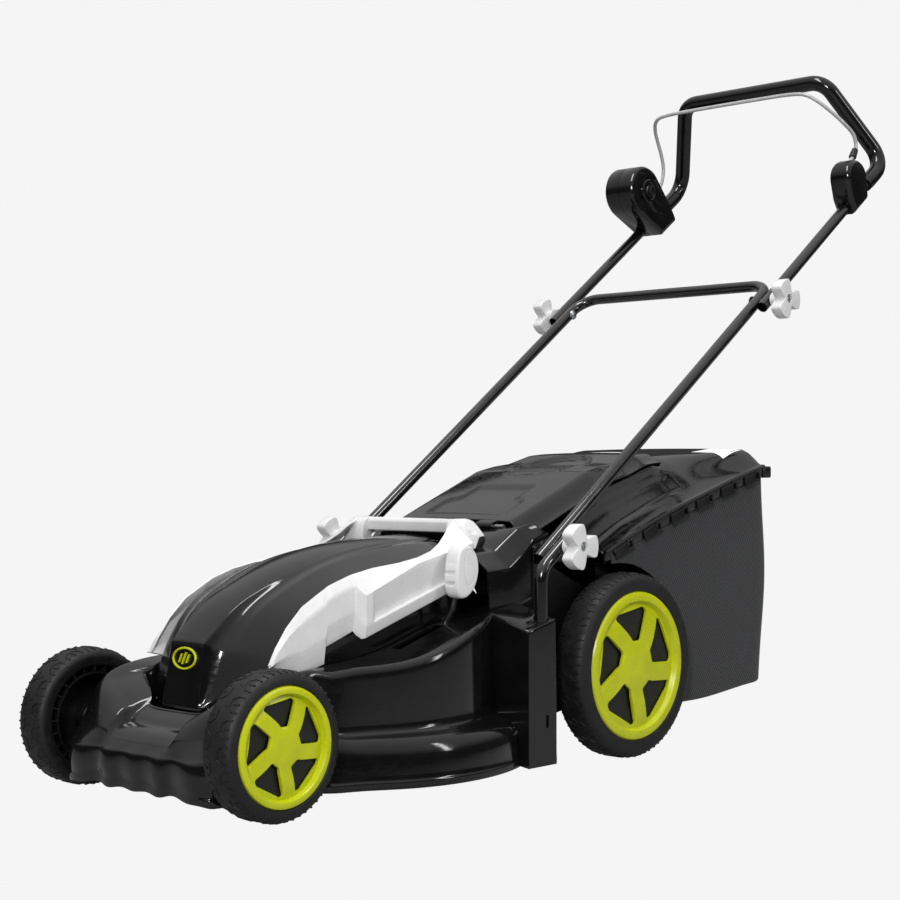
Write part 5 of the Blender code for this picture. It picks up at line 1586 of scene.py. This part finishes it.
def cloth_wall():
    """Side and rear walls, then the floor: columns of points on one continuous sheet."""
    levels = [i / 30 for i in range(31)]
    loops = [bag_loop(level) for level in levels]
    bm = bmesh.new()
    layer = bm.loops.layers.uv.new("metres")
    rows = [[bm.verts.new(p) for p in loop] for loop in loops]
    count = len(rows[0])
    last = loops[-1]
    for i in range(1, 7):
        turn = math.radians(15 * i)
        pull, drop = .075 * (1 - math.cos(turn)), .008 * math.sin(turn)
        rows.append([bm.verts.new((x * (1 - pull), y - (y - .8700) * pull, z - drop)) for x, y, z in last])
    corner = 21

    def lengths_of(row):
        made = [0.0]
        for a, b in zip(row, row[1:]):
            made.append(made[-1] + (b.co - a.co).length)
        return [m - made[corner] for m in made]

    across = [lengths_of(row) for row in rows]
    depths = [0.0]
    for a, b in zip(rows, rows[1:]):
        depths.append(depths[-1] + (a[corner].co - b[corner].co).length)
    for r, (near, far) in enumerate(zip(rows, rows[1:])):
        for i in range(count - 1):
            face = bm.faces.new((near[i], near[i + 1], far[i + 1], far[i]))
            for loop, (at, down) in zip(face.loops, ((i, r), (i + 1, r), (i + 1, r + 1), (i, r + 1))):
                loop[layer].uv = (across[down][at], -depths[down])
    bottom = rows[-1]
    middle_index = count // 2
    for k in range(middle_index):
        a, b, c, d = bottom[k], bottom[k + 1], bottom[count - 2 - k], bottom[count - 1 - k]
        corners = list(dict.fromkeys((a, b, c, d)))
        if len(corners) > 2:
            face = bm.faces.new(corners)
            for loop in face.loops:
                loop[layer].uv = (loop.vert.co.x, loop.vert.co.y)
    bm.normal_update()
    bm.faces.ensure_lookup_table()
    probe = bm.faces[10 * (count - 1) + 10]
    if probe.normal.x * probe.calc_center_median().x < 0:
        bmesh.ops.reverse_faces(bm, faces=bm.faces)
    mesh = bpy.data.meshes.new("bag_cloth")
    bm.to_mesh(mesh)
    bm.free()
    obj = bpy.data.objects.new("bag_cloth", mesh)
    bpy.context.scene.collection.objects.link(obj)
    add_modifier(obj, "SOLIDIFY", thickness=.0012, offset=-1)
    settle(obj, CLOTH, "grass_bag", "fabric", "bag_fabric", sharp=70)


cloth_wall()
print("bag made")

# %% [markdown]
# ## Boxes on the handle
# Both housings clamp the tube: a chamfered disc that tapers to the clamp. The right one has the button on
# a stepped seat and five screw holes; the left one is plain with a boot where the bail goes in.

# %% Housings
def hull(points):
    """Outline of the smallest convex shape around the points."""
    def turn(o, a, b):
        return (a[0] - o[0]) * (b[1] - o[1]) - (a[1] - o[1]) * (b[0] - o[0])
    chains = []
    for ordered in (sorted(points), sorted(points, reverse=True)):
        chain = []
        for point in ordered:
            while len(chain) > 1 and turn(chain[-2], chain[-1], point) <= 1e-9:
                chain.pop()
            chain.append(point)
        chains.append(chain[:-1])
    return chains[0] + chains[1]


def teardrop(center, radius, reach, long_half=.030, half=.0130):
    corners = []
    for distance in (reach - long_half, reach + long_half):
        y, z = on_slope(UPPER_BOLT, distance)
        corners += [(y + lift * math.sin(SLOPE), z - lift * math.cos(SLOPE)) for lift in (half, -half)]
    return hull(corners + ring_points(radius, 48, center))


def scaled(outline, center, factor):
    return [(center[0] + (y - center[0]) * factor, center[1] + (z - center[1]) * factor) for y, z in outline]


def layered(name, outline, center, layers):
    """Stack of the outline at (x, scale) layers."""
    bm = bmesh.new()
    rows = [[bm.verts.new((x, y, z)) for y, z in scaled(outline, center, factor)] for x, factor in layers]
    bridge(bm, rows)
    bm.faces.new(rows[0])
    bm.faces.new(rows[-1])
    return loose(name, bm)


BAIL_AT = (1.200, .872)
BUTTON_AT = (1.147, .868)
BUTTON_SEAT = .0122            # the hole in the shell, a little wider than the button
REACH = (BAIL_AT[0] - UPPER_BOLT.x) / math.cos(SLOPE) + .004


def bore(side):
    path = [(side * OUTER_TUBE_X, *on_slope(UPPER_BOLT, d)) for d in (-.2, .42)]
    return sweep(path, TUBE_R + .0004, sides=32)


def switch_box():
    center = (1.144, .869)
    outline = teardrop(center, .0425, REACH + .006, .024)
    outer = layered("switch_shell_outer", outline, center, ((-.2200, .90), (-.2175, .965), (-.2140, 1),
                                                            (-.1909, 1)))
    cut_by(outer, bore(-1))
    bevel_by(outer, .0010, 2, 30)
    settle(outer, GLOSS_BLACK, "upper_handle", "black_gloss", "switch_box_outer", sharp=25)
    inner = layered("switch_shell_inner", outline, center, ((-.1905, .995), (-.1895, 1), (-.1670, 1),
                                                            (-.1640, .97), (-.1605, .91)))
    cuts = [bore(-1), lathe([(0, -.1705), (BUTTON_SEAT, -.1705), (BUTTON_SEAT, -.150), (0, -.150)],
                            (0, *BUTTON_AT), 48)]
    for degrees, distance in ((110, .034), (45, .034), (190, .036), (250, .036), (315, .046)):
        hole = around(center, distance, degrees)
        cuts.append(lathe([(0, -.1680), (.0020, -.1680), (.0020, -.150), (0, -.150)], (0, *hole), 20))
    cuts.append(box((-.1855, BAIL_AT[0] - .010, BAIL_AT[1] - .010),
                    (-.1725, BAIL_AT[0] + .05, BAIL_AT[1] + .08)))
    cut_by(inner, *cuts)
    bevel_by(inner, .0007, 2, 30)
    settle(inner, GLOSS_BLACK, "upper_handle", "black_gloss", "switch_box_inner", sharp=25)
    seat = lathe([(.0125, -.1700), (.0205, -.1700), (.0205, -.1560), (.0192, -.1545), (.0150, -.1545),
                  (.0125, -.1570)],
                 (0, *BUTTON_AT), 64)
    settle(loose("button_seat", seat), GLOSS_BLACK, "upper_handle", "black_gloss", sharp=35)


def safety_button():
    r = .0115
    profile = [(0, -.1660), (r, -.1660), (r, -.1550), (r - .0010, -.1535), (r - .0035, -.1535),
               (r - .0035, -.1505), (r - .0045, -.1495), (.0035, -.1495), (.0030, -.1515), (0, -.1515)]
    settle(loose("round_button", lathe(profile, (0, *BUTTON_AT), 56)), SATIN_BLACK, "safety_button",
           "black_gloss", "safety_button", sharp=35)


def pivot_housing():
    center = (1.195, .855)
    outline = teardrop(center, .0290, REACH, .024, .0115)
    shell = layered("bail_housing", outline, center, ((.1835, .86), (.1875, .96), (.1910, 1), (.2120, 1),
                                                      (.2165, .95), (.2200, .84)))
    slot = box((.1905, BAIL_AT[0] - .012, BAIL_AT[1] - .012), (.2035, BAIL_AT[0] + .028, BAIL_AT[1] + .08))
    cut_by(shell, bore(1), slot)
    bevel_by(shell, .0007, 2, 30)
    settle(shell, GLOSS_BLACK, "upper_handle", "black_gloss", "pivot_box", sharp=25)


switch_box()
safety_button()
pivot_housing()

# %% Bail wire and its boot
def flowing(points, parts=8):
    """A smooth curve through all the points."""
    points = [Vector(p) for p in points]
    padded = [points[0] * 2 - points[1]] + points + [points[-1] * 2 - points[-2]]
    made = []
    for before, start, end, after in zip(padded, padded[1:], padded[2:], padded[3:]):
        for i in range(parts):
            t = i / parts
            made.append(.5 * (2 * start + (end - before) * t
                              + (2 * before - 5 * start + 4 * end - after) * t ** 2
                              + (3 * start - before - 3 * end + after) * t ** 3))
    return made + [points[-1]]


def bail():
    y, z = BAIL_AT
    near = [(.1885, y, z), (.1955, y + .002, z + .003), (.1975, y + .016, z + .022),
            (.1975, y + .026, z + .038),
            (.1965, y + .020, z + .058), (.1910, y + .000, z + .074), (.1800, y - .016, z + .090),
            (.1640, y - .034, z + .108), (.1450, y - .042, z + .120), (.1180, y - .044, z + .124),
            (.0600, y - .044, z + .125)]
    far = [(-.1865, y, z), (-.1795, y + .002, z + .003), (-.1765, y + .010, z + .022),
           (-.1760, y + .014, z + .044),
           (-.1755, y + .008, z + .066), (-.1745, y - .004, z + .088), (-.1700, y - .018, z + .106),
           (-.1560, y - .034, z + .119), (-.1300, y - .042, z + .124), (-.0600, y - .044, z + .125)]
    path = flowing(far + near[::-1])
    wire = loose("bail_wire", sweep(path, .0030, sides=20))
    settle(wire, BAIL_PAINT, "bail", "bail_paint", "bail_rod", sharp=60)
    boot = lathe([(.0034, 0), (.0062, 0), (.0056, .010), (.0050, .016), (.0034, .016)], (0, 0, 0), 28, "Z")
    start, ahead = Vector(near[2]), (Vector(near[3]) - Vector(near[2])).normalized()
    turn = Vector((0, 0, 1)).rotation_difference(ahead).to_matrix()
    bmesh.ops.rotate(boot, matrix=turn, verts=boot.verts)
    bmesh.ops.translate(boot, vec=start - ahead * .002, verts=boot.verts)
    settle(loose("bail_boot", boot), SATIN_BLACK, "bail", "black_matt", sharp=40)


bail()
print("handle boxes and bail made")

# %% [markdown]
# ## The rest of the machine
# What stays as it came still gets a finish that suits it: zinc-plated rods and links, sheet steel for the
# blade, and textured black plastic for the parts inside.

# %% Finishes for the solids that stay
def dress(finish, slot, *nodes):
    for node in nodes:
        part = frame["nodes"][node]
        part.data.materials.clear()
        part.data.materials.append(finish)


shown = sorted(n for n, part in frame["nodes"].items() if not part.hide_render)
print("solids that still show:", ", ".join(shown))
for node in shown:
    if "blade" in node:
        dress(BLADE_STEEL, "steel", node)
    elif any(word in node for word in ("bolt", "axle", "link", "quadrant", "rod", "bearing", "shaft",
                                       "rotor", "can", "holder")):
        dress(ZINC, "steel", node)
    else:
        dress(SATIN_BLACK, "black_matt", node)

# %% [markdown]
# ## Studio
# The grey floor throws a little light up but isn't seen itself: the camera sees an even, near-white
# backdrop. What the glossy plastic mirrors is a bright ceiling over dim walls, which gives the black
# shapes their depth.
# The floor lies a little below the wheels, so they stay lit when the height lever lowers them.

# %% Floor and surround
def studio():
    bpy.context.scene.view_settings.view_transform = "Standard"
    floor_paint, tree, shader = new_finish("matt_grey_studio_floor", 0.9)
    mottle = grain(tree, 400)
    tree.links.new(two_tone(tree, mottle.outputs["Fac"], "#949494", "#9a9a9a"), shader.inputs["Base Color"])
    floor = loose("studio_floor", box((-14, -14, -.10), (14, 14, -.06)))
    floor.data.materials.append(floor_paint)
    floor.visible_camera = False
    world = bpy.data.worlds.new("studio_surround")
    bpy.context.scene.world = world
    world.use_nodes = True
    tree = world.node_tree
    place = add_node(tree, "ShaderNodeTexCoord")
    height = add_node(tree, "ShaderNodeSeparateXYZ", {"Vector": place.outputs["Generated"]})
    walls = add_node(tree, "ShaderNodeValToRGB", {"Fac": height.outputs["Z"]})
    for position, shade in ((0.0, "#363636"), (.22, "#424242"), (.42, "#b8b8b8"), (1.0, "#dcdcdc")):
        stop = walls.color_ramp.elements.new(position)
        stop.color = linear(shade)
    walls.color_ramp.elements.remove(walls.color_ramp.elements[0])
    walls.color_ramp.elements.remove(walls.color_ramp.elements[-1])
    view = add_node(tree, "ShaderNodeLightPath")
    pick = add_node(tree, "ShaderNodeMix", data_type="RGBA")
    tree.links.new(view.outputs["Is Camera Ray"], pick.inputs["Factor"])
    for socket in pick.inputs:
        if socket.name == "A" and socket.type == "RGBA":
            tree.links.new(walls.outputs["Color"], socket)
        if socket.name == "B" and socket.type == "RGBA":
            socket.default_value = linear("#f5f5f5")
    result = [socket for socket in pick.outputs if socket.type == "RGBA"][0]
    tree.links.new(result, tree.nodes["Background"].inputs["Color"])


def area_light(name, at, towards, size, watts, stretch=1.0):
    data = bpy.data.lights.new(name, "AREA")
    data.shape, data.size, data.size_y = "RECTANGLE", size, size * stretch
    data.energy = watts
    lamp = bpy.data.objects.new(name, data)
    bpy.context.scene.collection.objects.link(lamp)
    lamp.location = at
    lamp.rotation_euler = (Vector(towards) - Vector(at)).to_track_quat("-Z", "Y").to_euler()
    return lamp


studio()
area_light("overhead_strip", (0.3, -0.6, 2.6), (0, 0, .2), .4, 26, 3.5)
area_light("front_window", (2.0, -2.9, 1.7), (0, -.2, .25), .4, 62, 1.6)
rear_fill = area_light("rear_fill", (-1.8, 2.6, 2.0), (0, .1, .3), .5, 30, 1.4)
rear_fill.visible_glossy = False
area_light("side_strip", (2.6, 0.9, 1.5), (0, 0, .3), .25, 16, 6)

# %% Camera
def camera():
    data = bpy.data.cameras.new("camera")
    data.lens, data.sensor_width = 69.8, 36
    eye = bpy.data.objects.new("camera", data)
    bpy.context.scene.collection.objects.link(eye)
    eye.location = (1.6415, -1.2797 + AXLE_Y, 0.3941)
    eye.rotation_euler = (math.radians(90.543), 0, math.radians(43.07))
    bpy.context.scene.camera = eye


camera()
